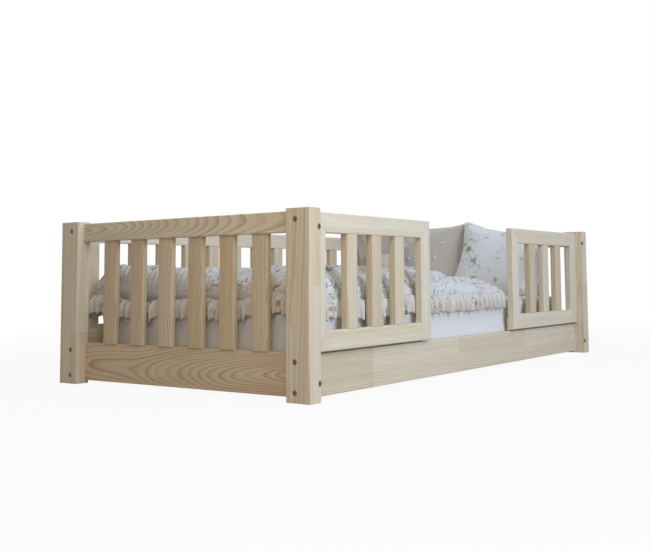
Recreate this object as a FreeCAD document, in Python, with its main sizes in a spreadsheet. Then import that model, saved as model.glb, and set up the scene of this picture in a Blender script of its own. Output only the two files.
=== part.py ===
import FreeCAD, Part
import Sketcher
import math
import os
import re
from FreeCAD import Placement, Rotation, Vector

# A low toddler bed of planed pine, with its bedding.  X runs from the foot to the head,
# Y from the entry side to the back, Z up; the origin is on the floor under the middle.
# Four flat posts carry two slatted ends and two bottom boards.  The entry side has two
# mitred, slatted barriers with a way in between them; the back has one long barrier.
# All lengths are millimetres.

doc = FreeCAD.newDocument("FloorBed")

# ---------------------------------------------------------------- driving dimensions
DRIVING = [
    ("bedLength", 1720, "outside of the posts, foot to head"),
    ("bedWidth", 926, "outside of the posts, front to back"),
    ("postHeight", 462, "floor to the top of a post"),
    ("postAlong", 44, "size of a post along the bed"),
    ("postAcross", 75, "size of a post across the bed"),
    ("postRound", 4, "rounding of a post's edges"),
    ("edgeRound", 3, "rounding of the rails and stiles"),
    ("slatBevel", 2, "bevel along the edges of the slats"),
    ("boardRound", 2, "rounding of the bottom boards"),
    ("stripBevel", 1, "bevel along the ledges and cleats"),
    ("endRailRecess", 20, "end face of a post to the face of the end rail"),
    ("endRailThick", 24, "thickness of the end rail"),
    ("endRailHeight", 52, "height of the end rail"),
    ("endRailDrop", 5, "top of a post to the top of the end rail"),
    ("endBoardRecess", 31, "end face of a post to the face of the end board"),
    ("endBoardThick", 18, "thickness of the end board"),
    ("endBoardHeight", 106, "height of the end board"),
    ("endBoardFloorGap", 9, "floor to the end board"),
    ("endSlatCount", 6, "upright slats in an end"),
    ("endSlatWidth", 53, "width of an end slat"),
    ("endSlatThick", 16, "thickness of an end slat"),
    ("endSlatPitch", 112.5, "spacing of the end slats"),
    ("endSlatRecess", 27, "end face of a post to the face of a slat"),
    ("endTenonThick", 8, "thickness of an end slat's lower tenon"),
    ("sideBoardRecess", 42, "side face of a post to the face of the side board"),
    ("sideBoardThick", 18, "thickness of the side board"),
    ("sideBoardHeight", 104, "height of the side board"),
    ("sideBoardFloorGap", 6, "floor to the side board"),
    ("barrierRecess", 27, "side face of a post to the face of a barrier"),
    ("barrierThick", 23, "thickness of a barrier"),
    ("barrierLength", 548, "length of an entry-side barrier"),
    ("barrierShadowGap", 5, "gap between the side board and a barrier"),
    ("barrierDrop", 7, "top of a post to the top of a barrier"),
    ("barrierRailHeight", 50, "height of a barrier's rails"),
    ("postStileWidth", 54, "width of the stile beside a post"),
    ("gapStileWidth", 48, "width of the stile beside the way in"),
    ("barrierSlatCount", 3, "slats in an entry-side barrier"),
    ("barrierSlatWidth", 45, "width of a barrier slat"),
    ("barrierSlatPitch", 111, "spacing of the slats of an entry-side barrier"),
    ("backSlatCount", 12, "slats in the back barrier"),
    ("backSlatPitch", 112, "spacing of the slats of the back barrier"),
    ("barrierTenonThick", 10, "thickness of a barrier slat's tenons"),
    ("tenonLength", 12, "length of every slat tenon"),
    ("tenonShoulder", 5, "shoulder at each edge of a slat tenon"),
    ("tenonClearance", 0.25, "play around and below a tenon"),
    ("ledgeThick", 10, "thickness of the strip that carries a barrier"),
    ("ledgeHeight", 45, "height of the strip that carries a barrier"),
    ("ledgeEndGap", 12, "barrier's end to the end of its strip"),
    ("cleatThick", 22, "thickness of a base cleat"),
    ("cleatHeight", 30, "height of a base cleat"),
    ("cleatTop", 76, "floor to the top of the base cleats"),
    ("cleatEndGap", 20, "end board to the end of a cleat"),
    ("baseSlatCount", 13, "slats of the bed base"),
    ("baseSlatWidth", 68, "width of a base slat"),
    ("baseSlatThick", 16, "thickness of a base slat"),
    ("baseSlatEndGap", 3, "side board to the end of a base slat"),
    ("baseEndGap", 10, "end board to the first base slat"),
    ("tapeWidth", 25, "width of the tapes that hold the base slats"),
    ("tapeThick", 1.2, "thickness of those tapes"),
    ("tapeInset", 110, "end of a base slat to a tape"),
    ("screwHeadWidth", 14, "diameter of a connector screw's head"),
    ("screwHeadThick", 2.4, "thickness of that head"),
    ("screwSink", 3.4, "depth of the counterbore that takes the head"),
    ("screwWidth", 6, "diameter of a connector screw"),
    ("screwSocket", 5, "width of the hexagon in its head, across the corners"),
    ("screwReach", 45, "length of a connector screw beyond the post"),
    ("boreClearance", 0.25, "play around a screw or a key, each side"),
    ("endScrewDepth", 7, "face of the end board to the screws of the end rail and board"),
    ("endRailScrewRise", 12, "lower edge of the end rail to its screw"),
    ("endBoardScrewRise", 36, "lower edge of the end board to its screw"),
    ("barrierScrewDepth", 18, "face of a barrier to its screw"),
    ("barrierScrewDrop", 20, "top of a barrier to its screw"),
    ("sideScrewDepth", 5.5, "face of the side board to its screws"),
    ("sideScrewDrop", 14, "top of the side board to its upper screw"),
    ("sideScrewRise", 18, "lower edge of the side board to its lower screw"),
    ("keyThick", 6, "thickness of a loose key in a post joint"),
    ("keyHeight", 18, "height of a key"),
    ("keyDepth", 15, "depth of a key in each piece"),
    ("endRailKeyDrop", 13, "top of the end rail to the middle of its key"),
    ("endBoardKeyDrop", 27, "top of the end board to the middle of its key"),
    ("barrierKeyRise", 27, "lower edge of a barrier to the middle of its key"),
    ("softGap", 0.4, "gap between a soft piece and what carries it"),
    ("mattressEndGap", 11, "end board to the mattress"),
    ("mattressSideGap", 13, "a barrier to the mattress"),
    ("mattressThick", 131, "thickness of the mattress at its middle"),
    ("mattressCorner", 70, "radius of the mattress's corners in plan"),
    ("mattressCrown", 9, "rise of the mattress from its border to its middle"),
    ("mattressWaist", 5, "how far its sides are drawn in"),
    ("mattressEdge", 12, "rounding of its upper and lower edges"),
    ("duvetFootGap", 10, "foot end of the mattress to the duvet"),
    ("duvetHeadGap", 550, "head end of the mattress to the duvet"),
    ("duvetEdgeThick", 22, "thickness of the duvet at its edges"),
    ("duvetHigh", 96, "height of the duvet's highest fold over the mattress"),
    ("ruffleDrop", 34, "how far the ruffle hangs below the duvet"),
    ("ruffleThick", 1.6, "thickness of the ruffle's cloth"),
    ("ruffleDepth", 6.5, "front to back of its pleats"),
    ("ruffleWaves", 22, "pleats along a side"),
    ("pillowWidth", 436, "width of the big pillow"),
    ("pillowTall", 300, "height of the big pillow"),
    ("pillowThick", 135, "thickness of the big pillow"),
    ("pillowGap", 7, "the big pillow to the dotted cushion"),
    ("dottedWidth", 340, "width of the dotted cushion"),
    ("dottedTall", 300, "height of the dotted cushion"),
    ("dottedThick", 110, "thickness of the dotted cushion"),
    ("dottedSideGap", 11, "the dotted cushion to the back barrier"),
    ("cornerWidth", 232, "width of the plain corner cushion"),
    ("cornerTall", 285, "height of the plain corner cushion"),
    ("cornerThick", 80, "thickness of the plain corner cushion"),
    ("pipedWidth", 205, "width of the piped cushion"),
    ("pipedTall", 190, "height of the piped cushion"),
    ("pipedThick", 75, "thickness of the piped cushion"),
    ("cushionLean", 12, "lean of the cushions at the head and back, in degrees"),
    ("pipedLean", 26, "lean of the piped cushion, in degrees"),
]

# Places that follow from the sizes above, each written once.
DERIVED = [
    ("innerLength", "bedLength - 2 * postAlong"),
    ("innerWidth", "bedWidth - 2 * postAcross"),
    ("endRailTop", "postHeight - endRailDrop"),
    ("endRailBottom", "endRailTop - endRailHeight"),
    ("endBoardTop", "endBoardFloorGap + endBoardHeight"),
    ("endBoardInside", "endBoardRecess + endBoardThick"),
    ("endSlatStart", "(bedWidth - (endSlatCount - 1) * endSlatPitch - endSlatWidth) / 2"),
    ("endTenonRecess", "endSlatRecess + endSlatThick - endTenonThick"),
    ("sideBoardTop", "sideBoardFloorGap + sideBoardHeight"),
    ("sideBoardInside", "sideBoardRecess + sideBoardThick"),
    ("barrierBottom", "sideBoardTop + barrierShadowGap"),
    ("barrierTop", "postHeight - barrierDrop"),
    ("barrierInside", "barrierRecess + barrierThick"),
    ("barrierOpenLow", "barrierBottom + barrierRailHeight"),
    ("barrierOpenHigh", "barrierTop - barrierRailHeight"),
    ("barrierOpening", "barrierLength - postStileWidth - gapStileWidth"),
    ("barrierSlatStart", "postStileWidth + (barrierOpening - (barrierSlatCount - 1) * barrierSlatPitch"
                         " - barrierSlatWidth) / 2"),
    ("backOpening", "innerLength - 2 * postStileWidth"),
    ("backSlatStart", "postStileWidth + (backOpening - (backSlatCount - 1) * backSlatPitch"
                      " - barrierSlatWidth) / 2"),
    ("barrierTenonInset", "(barrierThick - barrierTenonThick) / 2"),
    ("mortiseDepth", "tenonLength + tenonClearance"),
    ("cleatLength", "bedLength - 2 * endBoardInside - 2 * cleatEndGap"),
    ("baseSlatLength", "bedWidth - 2 * sideBoardInside - 2 * baseSlatEndGap"),
    ("baseLength", "bedLength - 2 * endBoardInside - 2 * baseEndGap"),
    ("baseSlatPitch", "(baseLength - baseSlatWidth) / (baseSlatCount - 1)"),
    ("baseTop", "cleatTop + baseSlatThick + tapeThick"),
    ("mattressTop", "baseTop + softGap + mattressThick"),
    ("screwHole", "screwWidth + 2 * boreClearance"),
    ("sinkWidth", "screwHeadWidth + 2 * boreClearance"),
    ("endScrewInset", "endBoardRecess + endScrewDepth"),
    ("endRailScrewHeight", "endRailBottom + endRailScrewRise"),
    ("endBoardScrewHeight", "endBoardFloorGap + endBoardScrewRise"),
    ("barrierScrewInset", "barrierRecess + barrierScrewDepth"),
    ("barrierScrewHeight", "barrierTop - barrierScrewDrop"),
    ("sideScrewInset", "sideBoardRecess + sideScrewDepth"),
    ("sideHighScrewHeight", "sideBoardTop - sideScrewDrop"),
    ("sideLowScrewHeight", "sideBoardFloorGap + sideScrewRise"),
    ("endRailKeyHeight", "endRailTop - endRailKeyDrop"),
    ("endBoardKeyHeight", "endBoardTop - endBoardKeyDrop"),
    ("barrierKeyHeight", "barrierBottom + barrierKeyRise"),
    ("mattressStart", "endBoardInside + mattressEndGap"),
    ("mattressNear", "barrierInside + mattressSideGap"),
    ("mattressLength", "bedLength - 2 * mattressStart"),
    ("mattressWidth", "bedWidth - 2 * mattressNear"),
    ("duvetStart", "mattressStart + duvetFootGap"),
    ("duvetLength", "mattressLength - duvetFootGap - duvetHeadGap"),
    ("dottedMiddle", "bedWidth - barrierInside - dottedSideGap - dottedWidth / 2"),
    ("pillowMiddle", "dottedMiddle - dottedWidth / 2 - pillowGap - pillowWidth / 2"),
]

sheet = doc.addObject("Spreadsheet::Sheet", "Sizes")
for row, (alias, value, note) in enumerate(DRIVING, start=1):
    sheet.set(f"A{row}", note)
    sheet.set(f"B{row}", str(value))
    sheet.setAlias(f"B{row}", alias)
for row, (alias, formula) in enumerate(DERIVED, start=len(DRIVING) + 2):
    sheet.set(f"A{row}", alias)
    sheet.set(f"B{row}", "=" + formula)
    sheet.setAlias(f"B{row}", alias)
doc.recompute()

size = {entry[0]: float(sheet.get(entry[0])) for entry in DRIVING + DERIVED}
parts = []

ALONG_X = Rotation(Vector(0, 1, 0), 90)
ALONG_Y = Rotation(Vector(1, 0, 0), -90)
ALONG_Z = Rotation()
HIDDEN_SIDES = 8   # flats of the bores and shanks inside the timber
CORNER_FLATS = 4   # flats in a quarter turn of a soft piece


# ---------------------------------------------------------------- helpers for the timber
def bind(feature, prop, expression):
    """Bind a property to an expression in the sheet's names."""
    named = re.sub(r"[A-Za-z_]\w*", lambda word: "Sizes." + word.group(), expression)
    feature.setExpression(prop, named)


def place(feature, spot):
    """Bind a feature's place to three expressions."""
    for axis, expression in zip("xyz", spot):
        bind(feature, f"Placement.Base.{axis}", expression)


def origin_item(body, role):
    return next(item for item in body.Origin.OriginFeatures if item.Role == role)


def new_body(label, spot):
    """A body whose place is given from the foot end, the front face and the floor."""
    body = doc.addObject("PartDesign::Body", label)
    body.Label = label
    along, across, up = spot
    place(body, (f"{along} - bedLength / 2", f"{across} - bedWidth / 2", up))
    parts.append(body)
    return body


def outline(sketch, points):
    """A closed outline of straight lines, each corner bound to two expressions."""
    count = len(points)
    corners = [Vector(math.cos(2 * math.pi * i / count), math.sin(2 * math.pi * i / count), 0)
               for i in range(count)]
    for i in range(count):
        sketch.addGeometry(Part.LineSegment(corners[i], corners[(i + 1) % count]), False)
    for i in range(count):
        sketch.addConstraint(Sketcher.Constraint("Coincident", i, 2, (i + 1) % count, 1))
    for i, (across, up) in enumerate(points):
        for kind, axis, expression in (("DistanceX", -2, across), ("DistanceY", -1, up)):
            if expression == "0":
                sketch.addConstraint(Sketcher.Constraint("PointOnObject", i, 1, axis))
            else:
                index = sketch.addConstraint(Sketcher.Constraint(kind, -1, 1, i, 1, 1.0))
                bind(sketch, f"Constraints[{index}]", expression)


def pad(body, plane, points, length):
    """A pad from a plane of the body, always towards the positive side of that plane."""
    sketch = body.newObject("Sketcher::SketchObject", body.Name + "_outline")
    sketch.AttachmentSupport = (origin_item(body, plane), "")
    sketch.MapMode = "FlatFace"
    outline(sketch, points)
    feature = body.newObject("PartDesign::Pad", body.Name + "_pad")
    feature.Profile = sketch
    feature.Reversed = plane == "XZ_Plane"
    bind(feature, "Length", length)
    doc.recompute()
    return feature


def ease(body, base, direction, radius, bevel=False):
    """Round or bevel the straight edges of a body that run in one direction."""
    names = []
    for number, edge in enumerate(base.Shape.Edges, start=1):
        ends = edge.Vertexes[-1].Point - edge.Vertexes[0].Point
        runs = ends.Length > 1e-6 and abs(abs(ends.normalize().dot(direction)) - 1) < 1e-6
        if runs:
            names.append(f"Edge{number}")
    feature = body.newObject("PartDesign::Chamfer" if bevel else "PartDesign::Fillet", body.Name + "_eased")
    feature.Base = (base, names)
    bind(feature, "Size" if bevel else "Radius", radius)
    doc.recompute()
    return feature


def primitive(body, kind, name, sizes, spot, turn=ALONG_Z):
    """Add or take away a box or a cylinder inside a body."""
    feature = body.newObject("PartDesign::" + kind, body.Name + "_" + name)
    feature.Placement = Placement(Vector(), turn)
    for prop, expression in sizes.items():
        bind(feature, prop, expression)
    place(feature, spot)
    doc.recompute()
    return feature


def sunk(body, name, width, depth, spot, turn):
    """A round counterbore, which shows."""
    return primitive(body, "SubtractiveCylinder", name, {"Radius": width + " / 2", "Height": depth}, spot, turn)


def bore(body, name, width, depth, spot, turn):
    """A hidden bore, drawn with eight flats to keep the facets few."""
    hole = body.newObject("PartDesign::SubtractivePrism", body.Name + "_" + name)
    hole.Polygon = HIDDEN_SIDES
    hole.Placement = Placement(Vector(), turn)
    bind(hole, "Circumradius", width + " / 2")
    bind(hole, "Height", depth)
    place(hole, spot)
    before = body.Shape.Volume
    doc.recompute()
    if body.Shape.Volume > before - 1:
        raise RuntimeError(f"{body.Label}: {name} cuts nothing")
    return hole


def repeat(body, feature, role, count, pitch):
    """Repeat one feature along an axis of the body."""
    pattern = body.newObject("PartDesign::LinearPattern", feature.Name + "_row")
    pattern.Originals = [feature]
    pattern.Direction = (origin_item(body, role), [""])
    bind(pattern, "Length", f"({count} - 1) * {pitch}")
    bind(pattern, "Occurrences", count)
    body.Tip = pattern
    doc.recompute()
    return pattern


def slab(label, spot, extent, grain, radius, bevel=False):
    """A straight piece of planed timber with its long edges rounded or bevelled."""
    body = new_body(label, spot)
    dx, dy, dz = extent
    plane, across, up, length, direction = {
        "X": ("YZ_Plane", dy, dz, dx, Vector(1, 0, 0)),
        "Y": ("XZ_Plane", dx, dz, dy, Vector(0, 1, 0)),
        "Z": ("XY_Plane", dx, dy, dz, Vector(0, 0, 1)),
    }[grain]
    block = pad(body, plane, [("0", "0"), (across, "0"), (across, up), ("0", up)], length)
    ease(body, block, direction, radius, bevel)
    return body


# ---------------------------------------------------------------- posts
def key_slot(body, name, spot, along_x):
    """Half of the pocket that a loose key fills; spot is its low corner."""
    thick = "keyThick + 2 * boreClearance"
    deep = "keyDepth + boreClearance"
    sizes = {"Length": deep if along_x else thick, "Width": thick if along_x else deep,
             "Height": "keyHeight + 2 * boreClearance"}
    return primitive(body, "SubtractiveBox", name, sizes, spot)


def corner_post(label, at_head, at_back):
    """A flat post with five counterbored screw holes and three key slots."""
    corner = ("bedLength - postAlong" if at_head else "0", "bedWidth - postAcross" if at_back else "0", "0")
    body = slab(label, corner, ("postAlong", "postAcross", "postHeight"), "Z", "postRound")
    # From the bed's end face the screws run along the bed, from the side face across it.
    side_y = "postAcross - " if at_back else ""
    end_x = "postAlong - " if at_head else ""
    sink_x = "postAlong - screwSink" if at_head else "0 * postAlong"
    sink_y = "postAcross - screwSink" if at_back else "0 * postAcross"
    for number, (inset, height) in enumerate((("barrierScrewInset", "barrierScrewHeight"),
                                              ("sideScrewInset", "sideHighScrewHeight"),
                                              ("sideScrewInset", "sideLowScrewHeight")), start=1):
        y = side_y + inset
        bore(body, f"long_hole_{number}", "screwHole", "postAlong", ("0 * postAlong", y, height), ALONG_X)
        sunk(body, f"long_sink_{number}", "sinkWidth", "screwSink", (sink_x, y, height), ALONG_X)
    for number, height in enumerate(("endRailScrewHeight", "endBoardScrewHeight"), start=1):
        x = end_x + "endScrewInset"
        bore(body, f"cross_hole_{number}", "screwHole", "postAcross", (x, "0 * postAcross", height), ALONG_Y)
        sunk(body, f"cross_sink_{number}", "sinkWidth", "screwSink", (x, sink_y, height), ALONG_Y)
    half = "(keyThick / 2 + boreClearance)"
    inner_x = "0 * postAlong" if at_head else "postAlong - keyDepth - boreClearance"
    inner_y = "0 * postAcross" if at_back else "postAcross - keyDepth - boreClearance"
    key_slot(body, "barrier_key", (inner_x, side_y + "(barrierRecess + barrierThick / 2) - " + half,
                                   "barrierKeyHeight - keyHeight / 2 - boreClearance"), True)
    for name, middle, height in (("rail_key", "(endRailRecess + endRailThick / 2)", "endRailKeyHeight"),
                                 ("board_key", "(endBoardRecess + endBoardThick / 2)", "endBoardKeyHeight")):
        key_slot(body, name, (end_x + middle + " - " + half, inner_y,
                              height + " - keyHeight / 2 - boreClearance"), False)
    return body


for at_head in (False, True):
    for at_back in (False, True):
        corner_post(f"post_{'head' if at_head else 'foot'}_{'back' if at_back else 'front'}", at_head, at_back)


# ---------------------------------------------------------------- ends
def cross_joints(body, at_head, recess, thick, base, screw_height, key_height):
    """The screw holes and key slots in both ends of an end rail or board."""
    x = f"endScrewInset - {recess}"
    if at_head:
        x = f"{thick} - ({x})"
    slot_x = f"{thick} / 2 - keyThick / 2 - boreClearance"
    slot_z = f"{key_height} - {base} - keyHeight / 2 - boreClearance"
    for name, hole_y, slot_y in (("front", "0 * innerWidth", "0 * innerWidth"),
                                 ("back", "innerWidth - screwReach", "innerWidth - keyDepth - boreClearance")):
        bore(body, f"screw_{name}", "screwHole", "screwReach", (x, hole_y, f"{screw_height} - {base}"), ALONG_Y)
        key_slot(body, f"key_{name}", (slot_x, slot_y, slot_z), False)


def mirrored(at_head, recess, thick):
    """Where a piece starts along the bed, at the foot or mirrored to the head."""
    return f"bedLength - {recess} - {thick}" if at_head else recess


def slatted_end(name, at_head):
    """One end of the bed: a rail, a board and the upright slats between them."""
    play = "tenonClearance"
    rail = slab(f"{name}_top_rail",
                (mirrored(at_head, "endRailRecess", "endRailThick"), "postAcross", "endRailBottom"),
                ("endRailThick", "innerWidth", "endRailHeight"), "Y", "edgeRound")
    cross_joints(rail, at_head, "endRailRecess", "endRailThick", "endRailBottom",
                 "endRailScrewHeight", "endRailKeyHeight")
    housing_x = "endSlatRecess - endRailRecess"
    if at_head:
        housing_x = f"endRailThick - ({housing_x}) - endSlatThick"
    housing = primitive(rail, "SubtractiveBox", "housing",
                        {"Length": f"endSlatThick + 2 * {play}", "Width": f"endSlatWidth + 2 * {play}",
                         "Height": "mortiseDepth"},
                        (f"{housing_x} - {play}", f"endSlatStart - postAcross - {play}", "0 * mortiseDepth"))
    repeat(rail, housing, "Y_Axis", "endSlatCount", "endSlatPitch")

    board = slab(f"{name}_lower_board",
                 (mirrored(at_head, "endBoardRecess", "endBoardThick"), "postAcross", "endBoardFloorGap"),
                 ("endBoardThick", "innerWidth", "endBoardHeight"), "Y", "boardRound")
    cross_joints(board, at_head, "endBoardRecess", "endBoardThick", "endBoardFloorGap",
                 "endBoardScrewHeight", "endBoardKeyHeight")
    mortise_x = "endTenonRecess - endBoardRecess"
    if at_head:
        mortise_x = f"endBoardThick - ({mortise_x}) - endTenonThick"
    mortise = primitive(board, "SubtractiveBox", "mortise",
                        {"Length": f"endTenonThick + 2 * {play}",
                         "Width": f"endSlatWidth - 2 * tenonShoulder + 2 * {play}", "Height": "mortiseDepth"},
                        (f"{mortise_x} - {play}", f"endSlatStart + tenonShoulder - postAcross - {play}",
                         "endBoardHeight - mortiseDepth"))
    repeat(board, mortise, "Y_Axis", "endSlatCount", "endSlatPitch")

    for number in range(int(size["endSlatCount"])):
        slat = slab(f"{name}_slat_{number + 1}",
                    (mirrored(at_head, "endSlatRecess", "endSlatThick"),
                     f"endSlatStart + {number} * endSlatPitch", "endBoardTop"),
                    ("endSlatThick", "endSlatWidth", "endRailBottom - endBoardTop + tenonLength"),
                    "Z", "slatBevel", True)
        primitive(slat, "AdditiveBox", "tenon",
                  {"Length": "endTenonThick", "Width": "endSlatWidth - 2 * tenonShoulder",
                   "Height": "tenonLength"},
                  ("0 * endSlatThick" if at_head else "endSlatThick - endTenonThick", "tenonShoulder",
                   "-tenonLength"))


slatted_end("foot", False)
slatted_end("head", True)


# ---------------------------------------------------------------- side boards
def side_recess(at_back, recess, thick):
    """Where a piece starts across the bed, at the front or mirrored to the back."""
    return f"bedWidth - {recess} - {thick}" if at_back else recess


def side_board(label, at_back):
    """A full-length bottom board, screwed to the posts at both ends."""
    board = slab(label, ("postAlong", side_recess(at_back, "sideBoardRecess", "sideBoardThick"),
                         "sideBoardFloorGap"),
                 ("innerLength", "sideBoardThick", "sideBoardHeight"), "X", "boardRound")
    y = "sideScrewInset - sideBoardRecess"
    if at_back:
        y = f"sideBoardThick - ({y})"
    for level, height in (("high", "sideHighScrewHeight"), ("low", "sideLowScrewHeight")):
        for end, x in (("foot", "0 * innerLength"), ("head", "innerLength - screwReach")):
            bore(board, f"screw_{end}_{level}", "screwHole", "screwReach",
                 (x, y, f"{height} - sideBoardFloorGap"), ALONG_X)


side_board("front_side_board", False)
side_board("back_side_board", True)


# ---------------------------------------------------------------- barriers
def mitred_rail(label, spot, length, near, far, is_top):
    """A barrier rail, mitred at both ends from outer to inner corner."""
    body = new_body(label, spot)
    high = "barrierRailHeight"
    outer, inner = (high, "0") if is_top else ("0", high)
    points = [("0", outer), (length, outer), (f"{length} - {far}", inner), (near, inner)]
    block = pad(body, "XZ_Plane", points, "barrierThick")
    ease(body, block, Vector(1, 0, 0), "edgeRound")
    return body


def mitred_stile(label, spot, width, outer_is_low):
    """A barrier stile whose ends meet the mitred rails."""
    body = new_body(label, spot)
    high = "barrierTop - barrierBottom"
    rail = "barrierRailHeight"
    if outer_is_low:
        points = [("0", "0"), (width, rail), (width, f"{high} - {rail}"), ("0", high)]
    else:
        points = [("0", rail), (width, "0"), (width, high), ("0", f"{high} - {rail}")]
    block = pad(body, "XZ_Plane", points, "barrierThick")
    ease(body, block, Vector(0, 0, 1), "edgeRound")
    return body


def barrier_slat(label, spot):
    """A slat as thick as its barrier, with a stub tenon at each end."""
    slat = slab(label, spot, ("barrierSlatWidth", "barrierThick", "barrierOpenHigh - barrierOpenLow"), "Z",
                "slatBevel", True)
    primitive(slat, "AdditiveBox", "tenons",
              {"Length": "barrierSlatWidth - 2 * tenonShoulder", "Width": "barrierTenonThick",
               "Height": "barrierOpenHigh - barrierOpenLow + 2 * tenonLength"},
              ("tenonShoulder", "barrierTenonInset", "-tenonLength"))
    return slat


def barrier(name, start, length, near, far, first_slat, count, pitch, at_back, post_ends):
    """A mitred frame with slats; post_ends lists the ends that are fixed to a post."""
    front = side_recess(at_back, "barrierRecess", "barrierThick")
    bottom = mitred_rail(f"{name}_bottom_rail", (start, front, "barrierBottom"), length, near, far, False)
    top = mitred_rail(f"{name}_top_rail", (start, front, "barrierOpenHigh"), length, near, far, True)
    first = mitred_stile(f"{name}_{'foot' if 'foot' in post_ends else 'gap'}_stile",
                         (start, front, "barrierBottom"), near, True)
    last = mitred_stile(f"{name}_{'head' if 'head' in post_ends else 'gap'}_stile",
                        (f"{start} + {length} - {far}", front, "barrierBottom"), far, False)
    play = "tenonClearance"
    for rail, z in ((bottom, "barrierRailHeight - mortiseDepth"), (top, "0 * mortiseDepth")):
        mortise = primitive(rail, "SubtractiveBox", "mortise",
                            {"Length": f"barrierSlatWidth - 2 * tenonShoulder + 2 * {play}",
                             "Width": f"barrierTenonThick + 2 * {play}", "Height": "mortiseDepth"},
                            (f"{first_slat} + tenonShoulder - {play}", f"barrierTenonInset - {play}", z))
        repeat(rail, mortise, "X_Axis", count, pitch)
    screw_y = "barrierScrewInset - barrierRecess"
    if at_back:
        screw_y = f"barrierThick - ({screw_y})"
    for end, stile, width in (("foot", first, near), ("head", last, far)):
        if end not in post_ends:
            continue
        at_start = end == "foot"
        bore(top, f"screw_{end}", "screwHole", "screwReach",
             ("0 * screwReach" if at_start else f"{length} - screwReach", screw_y,
              "barrierScrewHeight - barrierOpenHigh"), ALONG_X)
        bore(stile, "screw", "screwHole", "screwReach",
             ("0 * screwReach" if at_start else f"{width} - screwReach", screw_y,
              "barrierScrewHeight - barrierBottom"), ALONG_X)
        key_slot(stile, "key", ("0 * keyDepth" if at_start else f"{width} - keyDepth - boreClearance",
                                "(barrierThick - keyThick) / 2 - boreClearance",
                                "barrierKeyHeight - barrierBottom - keyHeight / 2 - boreClearance"), True)
    return front


for name, start, near, far, post_end in (
        ("foot_barrier", "postAlong", "postStileWidth", "gapStileWidth", "foot"),
        ("head_barrier", "(bedLength - postAlong - barrierLength)", "gapStileWidth", "postStileWidth", "head")):
    first_slat = "barrierSlatStart"
    if post_end == "head":
        first_slat = ("barrierLength - barrierSlatStart - barrierSlatWidth"
                      " - (barrierSlatCount - 1) * barrierSlatPitch")
    front = barrier(name, start, "barrierLength", near, far, first_slat, "barrierSlatCount", "barrierSlatPitch",
                    False, (post_end,))
    for number in range(int(size["barrierSlatCount"])):
        barrier_slat(f"{name}_slat_{number + 1}",
                     (f"{start} + {first_slat} + {number} * barrierSlatPitch", front, "barrierOpenLow"))

barrier("back_barrier", "postAlong", "innerLength", "postStileWidth", "postStileWidth", "backSlatStart",
        "backSlatCount", "backSlatPitch", True, ("foot", "head"))

BACK_SLATS = "back_barrier_slats"


def copies(label, shapes):
    """One node that holds several separate, equal solids."""
    group = doc.addObject("Part::Feature", label)
    group.Shape = Part.makeCompound(shapes)
    group.Placement = Placement(Vector(-size["bedLength"] / 2, -size["bedWidth"] / 2, 0), Rotation())
    group.Label = label
    parts.append(group)
    return group


def rows_of(shape, spots):
    """Copies of a shape, turned and moved to each (place, turn)."""
    return [shape.transformed(Placement(spot, turn).toMatrix()) for spot, turn in spots]


model_slat = barrier_slat("back_slat_pattern", ("bedLength / 2", "bedWidth / 2", "0 * postHeight"))
parts.remove(model_slat)
doc.recompute()
slat_shape = model_slat.Shape.copy()
slat_shape.Placement = Placement()
back_front = size["bedWidth"] - size["barrierInside"]
copies(BACK_SLATS, rows_of(slat_shape, [
    (Vector(size["postAlong"] + size["backSlatStart"] + i * size["backSlatPitch"], back_front,
            size["barrierOpenLow"]), ALONG_Z) for i in range(int(size["backSlatCount"]))]))


# ---------------------------------------------------------------- ledges, cleats and base
LEDGES = (("foot_barrier_ledge", "(postAlong + ledgeEndGap)", "(barrierLength - 2 * ledgeEndGap)", False),
          ("head_barrier_ledge", "(bedLength - postAlong - barrierLength + ledgeEndGap)",
           "(barrierLength - 2 * ledgeEndGap)", False),
          ("back_barrier_ledge", "(postAlong + ledgeEndGap)", "(innerLength - 2 * ledgeEndGap)", True))
for label, start, length, at_back in LEDGES:
    slab(label, (start, side_recess(at_back, "barrierInside", "ledgeThick"), "sideBoardTop"),
         (length, "ledgeThick", "ledgeHeight"), "X", "stripBevel", True)
for label, at_back in (("front_base_cleat", False), ("back_base_cleat", True)):
    slab(label,
         ("endBoardInside + cleatEndGap", side_recess(at_back, "sideBoardInside", "cleatThick"),
          "cleatTop - cleatHeight"),
         ("cleatLength", "cleatThick", "cleatHeight"), "X", "stripBevel", True)

copies("base_slats", [Part.makeBox(size["baseSlatWidth"], size["baseSlatLength"], size["baseSlatThick"],
                                   Vector(size["endBoardInside"] + size["baseEndGap"] + i * size["baseSlatPitch"],
                                          size["sideBoardInside"] + size["baseSlatEndGap"], size["cleatTop"]))
                      for i in range(int(size["baseSlatCount"]))])
tape_start = size["sideBoardInside"] + size["baseSlatEndGap"] + size["tapeInset"]
copies("base_tapes", [Part.makeBox(size["baseLength"], size["tapeWidth"], size["tapeThick"],
                                   Vector(size["endBoardInside"] + size["baseEndGap"], y,
                                          size["cleatTop"] + size["baseSlatThick"]))
                      for y in (tape_start, size["bedWidth"] - tape_start - size["tapeWidth"])])


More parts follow.
